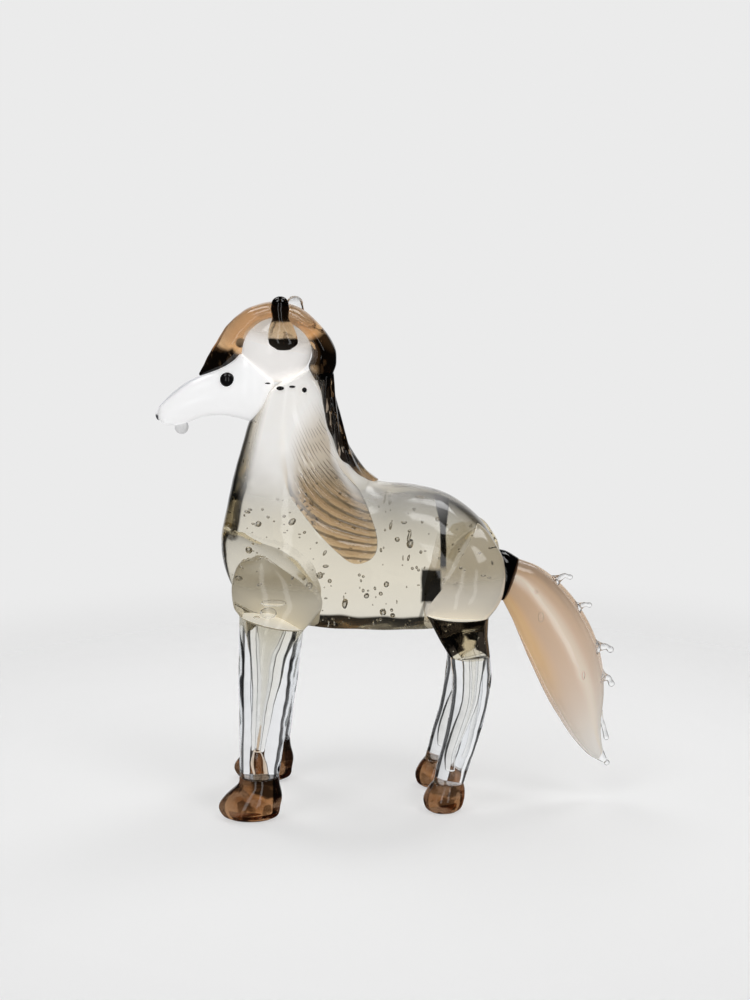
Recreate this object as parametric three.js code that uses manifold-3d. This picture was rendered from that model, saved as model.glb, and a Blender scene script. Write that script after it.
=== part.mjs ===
// A glass horse figurine, built up hot from separate gathers of glass: a smoky seeded body, cased
// legs on amber hooves, an opal head, an amber mane and forelock, and an opaline tail with barbs.
// Millimetres, +Z up, the head towards -X and the horse's left side towards -Y.
// Origin: on the ground, under the middle of the overall box.
import * as THREE from "three";
import { mergeVertices } from "three/addons/utils/BufferGeometryUtils.js";
import Module from "manifold-3d";

const wasm = await Module();
wasm.setup();

// ---- Driving dimensions ----
const SEAM = 0.3; // air left between neighbouring gathers
const LEFT = -1;
const RIGHT = 1;
const BARREL_HALF_WIDTH = 19.5;
const FRONT_FOOT_Y = 17.2; // middle of a front hoof from the midline
const HIND_FOOT_Y = 11;
const FRONT_STEP = 2; // the right front foot stands this far behind the left one
const HIND_STEP = -2; // and the right hind foot this far ahead of its left one
const SHOULDER_SEAM_Z = 58; // where the front leg is set under the shoulder
const GASKIN_SEAM_Z = 59; // where the dark gaskin is set under the haunch
const HOCK_SEAM_Z = 47; // where the clear hind leg is set under the gaskin
const MANE_LOBE_THICKNESS = 3;
const TAIL_CORE_INSET = 0.13; // the opaline core's distance in from each edge, as a share of the depth
const TAIL_CORE_WIDTH = 0.62; // the core's width as a share of the tail's
const AROUND = 16; // points round a section
const AROUND_SMALL = 10; // and round a thin one

// ---- Glass colours ----
const GLASS = {
  smoky: { color: 0xb5ae9c, roughness: 0.05, metalness: 0 },
  clear: { color: 0xe6ebf0, roughness: 0.03, metalness: 0 },
  opal: { color: 0xf4f4f2, roughness: 0.08, metalness: 0 },
  amber: { color: 0x8a5c36, roughness: 0.05, metalness: 0 },
  umber: { color: 0x2f2722, roughness: 0.05, metalness: 0 },
  opaline: { color: 0xd9b795, roughness: 0.1, metalness: 0 },
  black: { color: 0x0b0b0d, roughness: 0.04, metalness: 0 },
};

// ---- Surfaces ----

// A closed skin over a row of rings. Each end closes on a pole that stands out from the last ring's
// middle by its dome.
function skin(rings, startDome = 0, endDome = 0) {
  const count = rings[0].length;
  const middles = rings.map((ring) =>
    ring.reduce((sum, p) => sum.add(p), new THREE.Vector3()).divideScalar(count),
  );
  const pole = (at, before, dome) => {
    const outward = middles[at].clone().sub(middles[before]).normalize();
    return middles[at].clone().addScaledVector(outward, dome);
  };
  const last = rings.length - 1;
  const points = [...rings.flat(), pole(0, 1, startDome), pole(last, last - 1, endDome)];
  const start = points.length - 2;
  const end = points.length - 1;
  const index = [];
  for (let j = 0; j < count; j++) {
    const next = (j + 1) % count;
    index.push(start, next, j);
    index.push(end, last * count + j, last * count + next);
    for (let i = 0; i < last; i++) {
      const a = i * count;
      const b = a + count;
      index.push(a + j, a + next, b + next);
      index.push(a + j, b + next, b + j);
    }
  }
  const geometry = new THREE.BufferGeometry().setFromPoints(points);
  geometry.setIndex(index);
  return facingOut(geometry);
}

// The same geometry with its triangles turned round if they face inwards, by the sign of its volume.
function facingOut(geometry) {
  const position = geometry.getAttribute("position");
  const index = geometry.index.array;
  const corner = (k) => new THREE.Vector3().fromBufferAttribute(position, index[k]);
  let volume = 0;
  for (let k = 0; k < index.length; k += 3) {
    volume += corner(k).dot(corner(k + 1).cross(corner(k + 2)));
  }
  if (volume < 0) {
    index.reverse();
  }
  return geometry;
}

// A smooth run through the rows' own values, sampled so that each gap between two rows gets the same steps.
function smoothed(rows, steps) {
  const curve = (pick) =>
    new THREE.CatmullRomCurve3(
      rows.map((row) => new THREE.Vector3(...pick(row))),
      false,
      "catmullrom",
      0.5,
    );
  return { curve, count: (rows.length - 1) * steps };
}

// A loft hung between two outlines in the XZ plane: each rib joins a point of the top outline to one
// of the under outline, and its section is an ellipse of that height and of the given half width.
function ribLoft(rows, { steps = 1, around = AROUND, domes = [0, 0] } = {}) {
  return (grow = 0) => {
    const { curve, count } = smoothed(rows, steps);
    const top = curve((row) => [row.top[0], 0, row.top[1]]);
    const under = curve((row) => [row.under[0], 0, row.under[1]]);
    const half = curve((row) => [row.half, 0, 0]);
    const rings = [];
    for (let i = 0; i <= count; i++) {
      const t = i / count;
      const high = top.getPoint(t);
      const low = under.getPoint(t);
      const middle = high.clone().add(low).multiplyScalar(0.5);
      const up = high.clone().sub(low).multiplyScalar(0.5);
      up.setLength(up.length() + grow);
      const width = half.getPoint(t).x + grow;
      rings.push(
        turnsOf(around).map((turn) =>
          middle
            .clone()
            .addScaledVector(up, Math.cos(turn))
            .add(new THREE.Vector3(0, width * Math.sin(turn), 0)),
        ),
      );
    }
    return skin(rings, domes[0] + grow, domes[1] + grow);
  };
}

// A loft through level rings: each row gives a ring's middle, its half length along X, its half width
// along Y, and how much it rises per millimetre along X. side mirrors it, and step moves its foot.
function levelLoft(rows, side, { step = 0, steps = 1, around = AROUND, domes = [0, 0] } = {}) {
  return (grow = 0) => {
    const { curve, count } = smoothed(rows, steps);
    const middle = curve((row) => row.at);
    const size = curve((row) => [row.along, row.across, row.rise ?? 0]);
    const rings = [];
    for (let i = 0; i <= count; i++) {
      const centre = middle.getPoint(i / count);
      const { x: along, y: across, z: rise } = size.getPoint(i / count);
      const shift = step * Math.max(0, 1 - centre.z / SHOULDER_SEAM_Z);
      rings.push(
        turnsOf(around).map((turn) => {
          const dx = (along + grow) * Math.cos(turn);
          const dy = (across + grow) * Math.sin(turn);
          return new THREE.Vector3(centre.x + shift + dx, side * centre.y + dy, centre.z + rise * dx);
        }),
      );
    }
    return skin(rings, domes[0] + grow, domes[1] + grow);
  };
}

// An ellipsoid at a place, with a half size along each axis.
function ball([x, y, z], [a, b, c], around = AROUND) {
  return (grow = 0) =>
    new THREE.SphereGeometry(1, around, Math.round(around * 0.6))
      .scale(a + grow, b + grow, c + grow)
      .translate(x, y, z);
}

// A drawn-out point: a round tapered thread from root to tip, ended by a bead of its own half size.
function barb(root, tip, rootHalf, neckHalf, beadHalf) {
  return (grow = 0) => {
    const from = new THREE.Vector3(...root);
    const to = new THREE.Vector3(...tip);
    const line = to.clone().sub(from);
    const side = new THREE.Vector3(0, 1, 0);
    const lift = line.clone().cross(side).normalize();
    const stations = [
      [0, rootHalf],
      [0.45, (rootHalf + neckHalf) / 2],
      [0.8, neckHalf],
      [0.92, beadHalf],
      [1, beadHalf * 0.7],
    ];
    const rings = stations.map(([along, half]) =>
      turnsOf(AROUND_SMALL).map((turn) =>
        from
          .clone()
          .addScaledVector(line, along)
          .addScaledVector(lift, (half + grow) * Math.cos(turn))
          .addScaledVector(side, (half + grow) * Math.sin(turn)),
      ),
    );
    return skin(rings, grow, beadHalf * 0.3 + grow);
  };
}

function turnsOf(around) {
  return Array.from({ length: around }, (_, j) => (2 * Math.PI * j) / around);
}

// ---- manifold-3d, for joining and cutting only ----

function solidOf(geometry) {
  const bare = geometry.clone();
  bare.deleteAttribute("normal");
  bare.deleteAttribute("uv");
  const merged = mergeVertices(bare, 1e-4);
  return new wasm.Manifold(
    new wasm.Mesh({
      numProp: 3,
      vertProperties: new Float32Array(merged.getAttribute("position").array),
      triVerts: new Uint32Array(merged.index.array),
    }),
  );
}

function geometryOf(solid) {
  const { numProp, vertProperties, triVerts } = solid.getMesh();
  const count = vertProperties.length / numProp;
  const position = new Float32Array(count * 3);
  for (let i = 0; i < count; i++) {
    position.set(vertProperties.subarray(i * numProp, i * numProp + 3), i * 3);
  }
  const geometry = new THREE.BufferGeometry();
  geometry.setAttribute("position", new THREE.BufferAttribute(position, 3));
  geometry.setIndex(new THREE.BufferAttribute(triVerts, 1));
  geometry.computeVertexNormals();
  return geometry;
}

// The largest of a solid's separate bodies, which drops the crumbs that a cut can leave.
function largest(solid) {
  return solid.decompose().reduce((best, body) => (body.volume() > best.volume() ? body : best));
}

// ---- Body: barrel, chest and neck, one gather ----
const rib = (topX, topZ, underX, underZ, half) => ({ top: [topX, topZ], under: [underX, underZ], half });
const BODY_RIBS = [
  rib(33, 72, 32, 64, 4), // dock
  rib(31.7, 77.6, 28, 56.5, 12.5),
  rib(26.8, 85.4, 20, 53, 17.5), // croup
  rib(18.2, 91.9, 12, 52.5, 19),
  rib(8, 94.6, 2, 52.1, BARREL_HALF_WIDTH), // loin and belly
  rib(-1, 95.4, -9, 52.3, BARREL_HALF_WIDTH),
  rib(-5, 96.6, -21, 53, BARREL_HALF_WIDTH), // withers
  rib(-7, 98.5, -33, 55.5, BARREL_HALF_WIDTH),
  rib(-9, 100.5, -42.8, 61.5, BARREL_HALF_WIDTH),
  rib(-11.5, 103, -47.2, 70, 18.5), // breast
  rib(-13.5, 106, -48.3, 79, 17),
  rib(-15, 109, -46.6, 88, 15),
  rib(-16.5, 113, -44.6, 97, 12.5), // throat
  rib(-17.5, 118, -42, 106, 10.5),
  rib(-19, 123, -39.5, 114, 9.3),
  rib(-22, 128, -36, 121, 7.5), // poll
];
const bodyShape = ribLoft(BODY_RIBS, { steps: 2, around: 20, domes: [0.8, 1] });

// ---- Head: skull, muzzle, lip, eyes and ears ----
const SKULL_CENTRE = [-31.8, 0, 134.6];
const skull = ball(SKULL_CENTRE, [10.2, 8.4, 10]);
const MUZZLE_RIBS = [
  rib(-66, 116.2, -65.4, 113.6, 1.6), // nose
  rib(-64.8, 118.4, -63.2, 112.2, 3.6),
  rib(-61, 122, -58.5, 112.7, 4.8),
  rib(-56, 125.4, -53.5, 114.5, 5.4),
  rib(-50, 128, -48, 115.2, 6.2),
  rib(-44.5, 130.8, -43, 114.5, 7.2), // eyes
  rib(-40, 133.5, -38.5, 113.5, 7.8),
  rib(-36, 133, -35.5, 115.5, 7),
  rib(-33, 130, -33, 119, 4), // jaw
];
const muzzle = ribLoft(MUZZLE_RIBS, { around: 14, domes: [0.3, 0.5] });
const lowerLip = ball([-59.2, 0, 111.4], [2, 2, 2], AROUND_SMALL);
const EYE_X = -45.4;
const EYE_Z = 126;
const eye = (side) => ball([EYE_X, side * 5.6, EYE_Z], [1.9, 1.5, 1.9], AROUND_SMALL);

const EAR_ROWS = [
  { at: [-29.4, 8.2, 135.2], along: 2.3, across: 0.8 },
  { at: [-29.4, 8.1, 136.2], along: 3.9, across: 1.3 },
  { at: [-29.6, 7.6, 138.2], along: 4.1, across: 1.9 },
  { at: [-29.9, 7, 141], along: 3.4, across: 2.3 },
  { at: [-30.2, 6.5, 143.6], along: 2.4, across: 2.2 },
  { at: [-30.3, 6.3, 146.2], along: 2.6, across: 2.3 },
  { at: [-30.3, 6.2, 148], along: 2.4, across: 2.1 },
  { at: [-30.3, 6.2, 149.4], along: 1.6, across: 1.4 },
];
const EAR_SETBACK = 3.6; // the right ear stands this far behind the left one
const ear = (side) => (grow) =>
  levelLoft(EAR_ROWS, side, { around: AROUND_SMALL, domes: [0.2, 0.4] })(grow).translate(
    side === RIGHT ? EAR_SETBACK : 0,
    0,
    0,
  );

// ---- Hair: forelock over the poll, crest down the neck, and the combed lobe on the left side ----
const FORELOCK_RIBS = [
  rib(-53.7, 127.2, -53.2, 126.3, 0.8),
  rib(-50.6, 133, -46.6, 128.4, 2.8),
  rib(-46.1, 140.2, -41.4, 133.4, 4.2),
  rib(-40.6, 145.1, -37.4, 139.3, 5),
  rib(-33.5, 147.4, -33, 142, 5.4),
  rib(-26, 146.2, -28.2, 140.6, 5.6),
  rib(-19.8, 141.4, -23.4, 137.4, 5.4),
  rib(-15.6, 135.6, -21.6, 132.8, 4.8),
  rib(-14.7, 130.4, -22.6, 129, 4.2),
  rib(-15.8, 126.8, -21.4, 126.2, 3.2),
];
const forelock = ribLoft(FORELOCK_RIBS, { around: 14, domes: [0.3, 0.3] });

const CREST_RIBS = [
  rib(-15.6, 126.6, -19.8, 126, 2.8),
  rib(-15, 121, -19.6, 120.6, 3.8),
  rib(-13.6, 114.2, -18, 113.4, 4.8),
  rib(-11.8, 107.8, -16.6, 107, 5.4),
  rib(-9.4, 102.8, -14, 102, 5.6),
  rib(-6.6, 99.4, -10.5, 98.6, 5),
  rib(-2.8, 96.4, -5.5, 95.8, 1.8),
];
const crest = ribLoft(CREST_RIBS, { around: 12, domes: [0.3, 0.3] });

// The lobe's outline seen from the side, from the poll down its front edge and back up along the crest.
const LOBE_OUTLINE = [
  [-21, 127.2],
  [-26.2, 122.4],
  [-30, 115],
  [-30.6, 106],
  [-28.4, 96.6],
  [-22.1, 87.4],
  [-15, 79.6],
  [-9.4, 75.7],
  [-4.2, 77.6],
  [-3.1, 83],
  [-6.4, 92],
  [-12.2, 102],
  [-16, 112],
  [-17.4, 121],
];
function lobeSolid() {
  const closed = [...LOBE_OUTLINE, LOBE_OUTLINE[0]];
  const outline = new THREE.SplineCurve(closed.map(([x, z]) => new THREE.Vector2(x, z)));
  const shape = new THREE.Shape(outline.getPoints(2 * LOBE_OUTLINE.length).slice(0, -1));
  const prism = new THREE.ExtrudeGeometry(shape, { depth: 30, bevelEnabled: false }).rotateX(Math.PI / 2);
  const patch = solidOf(prism).intersect(solidOf(bodyShape(MANE_LOBE_THICKNESS)));
  return [bodyShape, crest, forelock, skull].reduce((left, shape) => left.subtract(solidOf(shape(SEAM))), patch);
}

// ---- Front legs ----
const SHOULDER_ROWS = [
  { at: [-35.3, 14.8, 77.2], along: 2.5, across: 3.5 },
  { at: [-34.4, 14.2, 75], along: 7.4, across: 5 },
  { at: [-33, 13.8, 71], along: 10.9, across: 6.6 },
  { at: [-31.8, 13.9, 66.4], along: 12.7, across: 7.8 },
  { at: [-31.4, 14.5, 62], along: 12.4, across: 8.2 },
  { at: [-33, 15.2, SHOULDER_SEAM_Z + SEAM], along: 9.4, across: 8, rise: -0.22 },
];
const FRONT_LEG_ROWS = [
  { at: [-33, 15.2, SHOULDER_SEAM_Z], along: 9.2, across: 7.8, rise: -0.22 },
  { at: [-34.3, 16, 46], along: 8.3, across: 6.9, rise: -0.06 },
  { at: [-35.2, 16.5, 34], along: 7.4, across: 6.2 },
  { at: [-36.2, 16.9, 23], along: 6.4, across: 5.7 },
  { at: [-37, FRONT_FOOT_Y, 12.9], along: 5.6, across: 5.2 },
];
const FRONT_CORE_ROWS = [
  { at: [-32.6, 15.2, SHOULDER_SEAM_Z + 0.1], along: 7, across: 5.8, rise: -0.22 },
  { at: [-33.9, 15.7, 50], along: 4.4, across: 3.8, rise: -0.1 },
  { at: [-34.8, 16.2, 40], along: 3, across: 2.7 },
  { at: [-36.2, 16.6, 29], along: 2, across: 1.9 },
  { at: [-37, 16.9, 21], along: 1.4, across: 1.3 },
];
const FRONT_SPUR_ROWS = [
  { at: [-37.2, 17, 19.6], along: 1, across: 1 },
  { at: [-37, 17.1, 17], along: 1.7, across: 1.5 },
  { at: [-36.4, FRONT_FOOT_Y, 13], along: 1.7, across: 1.6 },
  { at: [-36.4, FRONT_FOOT_Y, 11.6], along: 2.6, across: 2.4 },
];
const FRONT_HOOF_ROWS = [
  { at: [-37, FRONT_FOOT_Y, 12.6], along: 5.7, across: 5.2 },
  { at: [-37.2, FRONT_FOOT_Y, 10.2], along: 6.1, across: 5.4 },
  { at: [-38.7, FRONT_FOOT_Y, 6.8], along: 8.2, across: 5.9 },
  { at: [-39.9, FRONT_FOOT_Y, 3.8], along: 8.9, across: 6.1 },
  { at: [-39.7, FRONT_FOOT_Y, 1.2], along: 8.1, across: 5.4 },
  { at: [-39.6, FRONT_FOOT_Y, 0], along: 6.2, across: 4 },
];

// ---- Hind legs ----
const HAUNCH_ROWS = [
  { at: [21.4, 4.6, 85.6], along: 3.4, across: 1.8 },
  { at: [22, 7.6, 82.8], along: 6.2, across: 4.1 },
  { at: [22.6, 10.2, 79.2], along: 8.3, across: 5.8 },
  { at: [23.2, 11.6, 74.8], along: 9.9, across: 7.4 },
  { at: [22.5, 12.1, 68.6], along: 11, across: 8.8 },
  { at: [21.1, 12.3, 63.2], along: 11, across: 8.9 },
  { at: [19.9, 12.4, GASKIN_SEAM_Z + SEAM], along: 9.1, across: 8, rise: -0.03 },
];
const GASKIN_ROWS = [
  { at: [19.9, 12.4, GASKIN_SEAM_Z], along: 9, across: 7.8, rise: -0.03 },
  { at: [21.5, 12.4, 52.8], along: 7.2, across: 6.6 },
  { at: [23.5, 12.3, HOCK_SEAM_Z + SEAM], along: 5.8, across: 5.7 },
];
const HIND_LEG_ROWS = [
  { at: [23.6, 12.3, HOCK_SEAM_Z], along: 5.7, across: 5.6 },
  { at: [24.1, 12.2, 40], along: 5.7, across: 5.4 },
  { at: [23.3, 12, 32], along: 5.3, across: 5.1 },
  { at: [22, 11.7, 25], along: 5.1, across: 4.9 },
  { at: [19.6, 11.3, 16], along: 4.8, across: 4.6 },
  { at: [17.6, HIND_FOOT_Y, 8.6], along: 4.5, across: 4.4 },
];
const HIND_CORE_ROWS = [
  { at: [24.6, 12.3, HOCK_SEAM_Z + 0.1], along: 2.6, across: 2.4 },
  { at: [24.2, 12.2, 40], along: 1.8, across: 1.7 },
  { at: [23.6, 12, 33.5], along: 1.6, across: 1.5 },
  { at: [21.4, 11.7, 26], along: 1.4, across: 1.3 },
  { at: [19, 11.3, 18.5], along: 1.2, across: 1.1 },
  { at: [18.4, 11.2, 13], along: 0.9, across: 0.9 },
];
const HIND_HOOF_ROWS = [
  { at: [17.5, HIND_FOOT_Y, 8.3], along: 4.6, across: 4.5 },
  { at: [17, HIND_FOOT_Y, 6.6], along: 5.5, across: 5.1 },
  { at: [16.4, HIND_FOOT_Y, 3.8], along: 6, across: 5.5 },
  { at: [16.3, HIND_FOOT_Y, 1.2], along: 5.3, across: 4.9 },
  { at: [16.3, HIND_FOOT_Y, 0], along: 4, across: 3.7 },
];

// ---- Tail ----
const TAIL_ROOT_RIBS = [
  rib(30.5, 75.8, 30.5, 63, 4.5),
  rib(34.2, 75.2, 33, 60.8, 5.4),
  rib(37.6, 73.2, 33.5, 60.9, 5),
];
const TAIL_RIBS = [
  rib(38, 72.8, 33.8, 60.6, 4.9), // root
  rib(44.2, 70.4, 36.4, 55, 5.2),
  rib(50.6, 65.4, 39.6, 47.4, 5.2),
  rib(56.4, 58.2, 43, 39.6, 5),
  rib(60.9, 49.6, 46.8, 31.6, 4.8),
  rib(63.3, 40.6, 50.9, 24.6, 4.3),
  rib(63.8, 32, 54.8, 18.7, 3.6),
  rib(63.2, 24, 59, 14, 2.7),
  rib(63.6, 16.6, 62.4, 11.8, 1.7),
  rib(65, 12.4, 64.4, 10.8, 0.9), // tip
];
const tail = ribLoft(TAIL_RIBS, { around: 14, domes: [0, 0.3] });
// The core's ribs stay inside the tail's, run out of its root end and stop short of the tip.
const TAIL_CORE_RIBS = TAIL_RIBS.slice(0, -2).map(({ top, under, half }, i) => {
  const back = i === 0 ? 0.6 : 0; // the first rib stands out past the root
  const between = (share) => [
    top[0] + (under[0] - top[0]) * share - back,
    top[1] + (under[1] - top[1]) * share + back / 2,
  ];
  const width = half * TAIL_CORE_WIDTH;
  return rib(...between(TAIL_CORE_INSET), ...between(1 - TAIL_CORE_INSET), width);
});
const tailCore = ribLoft(TAIL_CORE_RIBS, { around: 10, domes: [0, 0.4] });

const BARBS = [
  { root: [48.6, 0, 66.2], tip: [53.2, 0, 67.6], rootHalf: 1.9, beadHalf: 0.8 },
  { root: [55.2, 0, 58.2], tip: [59, 0, 59.2], rootHalf: 1.9, beadHalf: 0.8 },
  { root: [61, 0, 46.4], tip: [65.4, 0, 45.6], rootHalf: 2.4, beadHalf: 1.1 },
  { root: [62.8, 0, 37.4], tip: [66, 0, 35.2], rootHalf: 2.4, beadHalf: 1 },
  { root: [62.6, 0, 26.6], tip: [64.9, 0, 18.6], rootHalf: 1.1, beadHalf: 0.8 },
];
const BARB_NECK_HALF = 0.7;
const tailTip = ball([65.2, 0, 10.8], [0.8, 0.8, 0.8], AROUND_SMALL);

// ---- Assembly: each piece has its shape, its glass and the neighbours that it is cut back from ----
const pieces = new Map();
const add = (name, glass, shape, cutBy = []) => pieces.set(name, { glass, shape, cutBy });

add("body_gather", "smoky", bodyShape, ["skull", "muzzle"]);
add("skull", "clear", skull, []);
add("muzzle", "opal", muzzle, ["skull"]);
add("lower_lip", "opal", lowerLip, ["muzzle"]);
add("forelock", "amber", forelock, ["skull", "muzzle", "body_gather"]);
add("mane_crest", "amber", crest, ["body_gather", "forelock", "skull"]);

for (const [side, word] of [
  [LEFT, "left"],
  [RIGHT, "right"],
]) {
  const front = { step: side === RIGHT ? FRONT_STEP : 0 };
  const hind = { step: side === RIGHT ? HIND_STEP : 0 };
  const frontCore = { ...front, around: AROUND_SMALL, domes: [0, 0.6] };
  const frontSpur = { ...front, around: AROUND_SMALL, domes: [0.6, 0] };
  const hindCore = { ...hind, around: AROUND_SMALL, domes: [0, 0.5] };

  add(`eye_${word}`, "black", eye(side), ["muzzle"]);
  add(`ear_${word}`, side === LEFT ? "amber" : "clear", ear(side), ["skull", "forelock"]);

  add(`shoulder_${word}`, "smoky", levelLoft(SHOULDER_ROWS, side, { domes: [0.6, 0] }), ["body_gather"]);
  add(`front_leg_casing_${word}`, "clear", levelLoft(FRONT_LEG_ROWS, side, front), [
    `front_leg_core_${word}`,
    `front_spur_${word}`,
    "body_gather",
  ]);
  add(`front_leg_core_${word}`, "smoky", levelLoft(FRONT_CORE_ROWS, side, frontCore), [
    `shoulder_${word}`,
    "body_gather",
  ]);
  add(`front_spur_${word}`, "amber", levelLoft(FRONT_SPUR_ROWS, side, frontSpur), [`front_hoof_${word}`]);
  add(`front_hoof_${word}`, "amber", levelLoft(FRONT_HOOF_ROWS, side, front), []);

  add(`haunch_${word}`, "smoky", levelLoft(HAUNCH_ROWS, side, { domes: [0.6, 0] }), ["body_gather"]);
  add(`gaskin_${word}`, "smoky", levelLoft(GASKIN_ROWS, side, hind), ["body_gather"]);
  add(`hind_leg_casing_${word}`, "clear", levelLoft(HIND_LEG_ROWS, side, hind), [`hind_leg_core_${word}`]);
  add(`hind_leg_core_${word}`, "smoky", levelLoft(HIND_CORE_ROWS, side, hindCore), [`gaskin_${word}`]);
  add(`hind_hoof_${word}`, "amber", levelLoft(HIND_HOOF_ROWS, side, hind), []);
}

add("tail_root", "umber", ribLoft(TAIL_ROOT_RIBS, { around: 14 }), [
  "body_gather",
  "haunch_left",
  "haunch_right",
  "tail_core",
  "tail_casing",
]);
add("tail_core", "opaline", tailCore, []);
add("tail_casing", "clear", tail, ["tail_core"]);
BARBS.forEach(({ root, tip, rootHalf, beadHalf }, i) => {
  add(`tail_barb_${i + 1}`, "clear", barb(root, tip, rootHalf, BARB_NECK_HALF, beadHalf), ["tail_casing"]);
});
add("tail_tip", "clear", tailTip, ["tail_casing"]);

const horse = new THREE.Group();
function place(name, glass, solid) {
  const mesh = new THREE.Mesh(geometryOf(solid), new THREE.MeshStandardMaterial(GLASS[glass]));
  mesh.name = name;
  horse.add(mesh);
}
for (const [name, { glass, shape, cutBy }] of pieces) {
  const whole = solidOf(shape(0));
  const cut = cutBy.reduce((left, other) => left.subtract(solidOf(pieces.get(other).shape(SEAM))), whole);
  place(name, glass, largest(cut));
}
place("mane_lobe", "amber", largest(lobeSolid()));

export default horse;
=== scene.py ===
import math

import bpy
import numpy as np
from bpy.props import FloatProperty, FloatVectorProperty, IntProperty, PointerProperty
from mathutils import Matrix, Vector


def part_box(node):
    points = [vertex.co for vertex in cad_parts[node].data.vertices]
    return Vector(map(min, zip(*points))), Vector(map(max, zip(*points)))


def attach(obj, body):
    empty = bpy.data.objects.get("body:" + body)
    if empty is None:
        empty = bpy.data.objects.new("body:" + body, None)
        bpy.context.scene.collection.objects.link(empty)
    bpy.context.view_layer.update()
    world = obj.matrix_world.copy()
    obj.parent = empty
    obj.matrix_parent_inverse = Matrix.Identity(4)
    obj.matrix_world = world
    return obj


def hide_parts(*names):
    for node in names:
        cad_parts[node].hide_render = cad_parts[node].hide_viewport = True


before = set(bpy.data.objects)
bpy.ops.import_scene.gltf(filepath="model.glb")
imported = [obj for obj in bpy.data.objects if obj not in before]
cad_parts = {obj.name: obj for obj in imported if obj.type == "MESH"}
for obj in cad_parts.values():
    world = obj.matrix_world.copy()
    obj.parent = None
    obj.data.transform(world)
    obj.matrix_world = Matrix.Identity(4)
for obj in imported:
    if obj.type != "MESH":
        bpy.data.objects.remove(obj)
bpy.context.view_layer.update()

bl_info = {
    "name": "Hot-worked glass horse",
    "version": (1, 0, 0),
    "blender": (4, 5, 0),
    "location": "3D View > Sidebar > Glass horse",
    "description": "Finishes a standing glass horse, gather by gather, around its packed solids",
    "category": "Add Mesh",
}

# Shapes are written in millimetres in the horse's own frame: +Z up, the muzzle towards -X, its left side
# towards -Y, and the ground at z = 0.
MM = 0.001
TAU = 2 * np.pi
LEFT, RIGHT = -1, 1
SIDES = ((LEFT, "left"), (RIGHT, "right"))
CAP_ROWS = 6  # how many rings close a domed end
PLACE_TOLERANCE = 2.5  # how far a finished gather's box may stand from its solid's box

# Places that several pieces share.
SKULL_CENTRE = (-31.8, 0.0, 134.6)
SKULL_RADII = (10.2, 8.6, 10.0)
FRONT_FOOT_Y = 17.2
HIND_FOOT_Y = 11.0
FRONT_STEP = 2.0  # how far the right front foot stands behind the left one
HIND_STEP = -2.0  # and the right hind foot ahead of the left one
SHOULDER_SEAM_Z = 58.0
GASKIN_SEAM_Z = 59.0
HOCK_SEAM_Z = 47.0


# ---- Numbers a user may change ----


class GlassHorseSizes(bpy.types.PropertyGroup):
    fuse: FloatProperty(
        name="Fuse depth",
        description="How far one gather sinks into the next where they are fused, in millimetres",
        default=0.3,
        min=0.05,
        max=1.0,
    )
    wobble: FloatProperty(
        name="Wobble",
        description="Height of the soft hand-made waves in a gather's surface, in millimetres",
        default=0.09,
        min=0.0,
        max=0.5,
    )
    seeds: IntProperty(
        name="Seeds",
        description="How many small air seeds are scattered through the body",
        default=330,
        min=0,
        max=900,
    )
    rib_pitch: FloatProperty(
        name="Comb pitch",
        description="Distance between the ribs combed into the mane lobe, in millimetres",
        default=2.3,
        min=1.0,
        max=5.0,
    )
    rib_height: FloatProperty(
        name="Comb depth",
        description="Height of the ribs combed into the mane lobe, in millimetres",
        default=0.32,
        min=0.0,
        max=1.0,
    )


def glass_colour(name, description, default):
    """One colour setting: what white light keeps after a centimetre of this glass."""
    return FloatVectorProperty(
        name=name, description=description, subtype="COLOR", size=3, min=0.0, max=1.0, default=default
    )


class GlassHorseColours(bpy.types.PropertyGroup):
    smoke: glass_colour("Smoky glass", "Light kept after 10 mm of the body glass", (0.94, 0.925, 0.885))
    clear: glass_colour("Clear glass", "Light kept after 10 mm of the leg glass", (0.93, 0.94, 0.955))
    amber: glass_colour("Amber glass", "Light kept after 10 mm of the forelock glass", (0.80, 0.53, 0.30))
    hoof: glass_colour("Hoof glass", "Light kept after 10 mm of the hoof glass", (0.46, 0.25, 0.12))
    mane: glass_colour("Mane glass", "Light kept after 10 mm of the mane glass", (0.42, 0.25, 0.12))
    umber: glass_colour("Umber glass", "Light kept after 10 mm of the darkest glass", (0.02, 0.012, 0.008))
    opal: glass_colour("Opal glass", "Surface colour of the white opal face", (0.91, 0.91, 0.915))
    opaline: glass_colour("Opaline glass", "Surface colour of the tail's core at its root", (0.62, 0.42, 0.265))


def sizes():
    return bpy.context.scene.glass_horse_sizes


def colours():
    return bpy.context.scene.glass_horse_colours


# ---- Shader arithmetic ----


class Wire:
    """A number socket that can be used in Python arithmetic. Each operation adds the Math node for it."""

    def __init__(self, shader, socket):
        self.shader = shader
        self.socket = socket

    def math(self, operation, *others):
        inputs = dict(enumerate((self, *others)))
        return self.shader.node("ShaderNodeMath", {"operation": operation}, inputs).out(0)

    def __add__(self, other):
        return self.math("ADD", other)

    def __sub__(self, other):
        return self.math("SUBTRACT", other)

    def __mul__(self, other):
        return self.math("MULTIPLY", other)

    def __truediv__(self, other):
        return self.math("DIVIDE", other)

    def __rsub__(self, other):
        return (self * -1) + other

    __radd__ = __add__
    __rmul__ = __mul__

    def __abs__(self):
        return self.math("ABSOLUTE")

    def most(self, other):
        return self.math("MAXIMUM", other)

    def root(self):
        return self.math("SQRT")

    def ramp(self, start, end):
        """0 before start, 1 after end, and a smooth step between them."""
        settings = {"interpolation_type": "SMOOTHSTEP"}
        inputs = {"Value": self, "From Min": start, "From Max": end}
        return self.shader.node("ShaderNodeMapRange", settings, inputs).out("Result")

    def between(self, start, end, soft):
        """1 from start to end, falling to 0 over the soft distance at both sides."""
        return self.ramp(start - soft, start + soft) * (1 - self.ramp(end - soft, end + soft))


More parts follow.
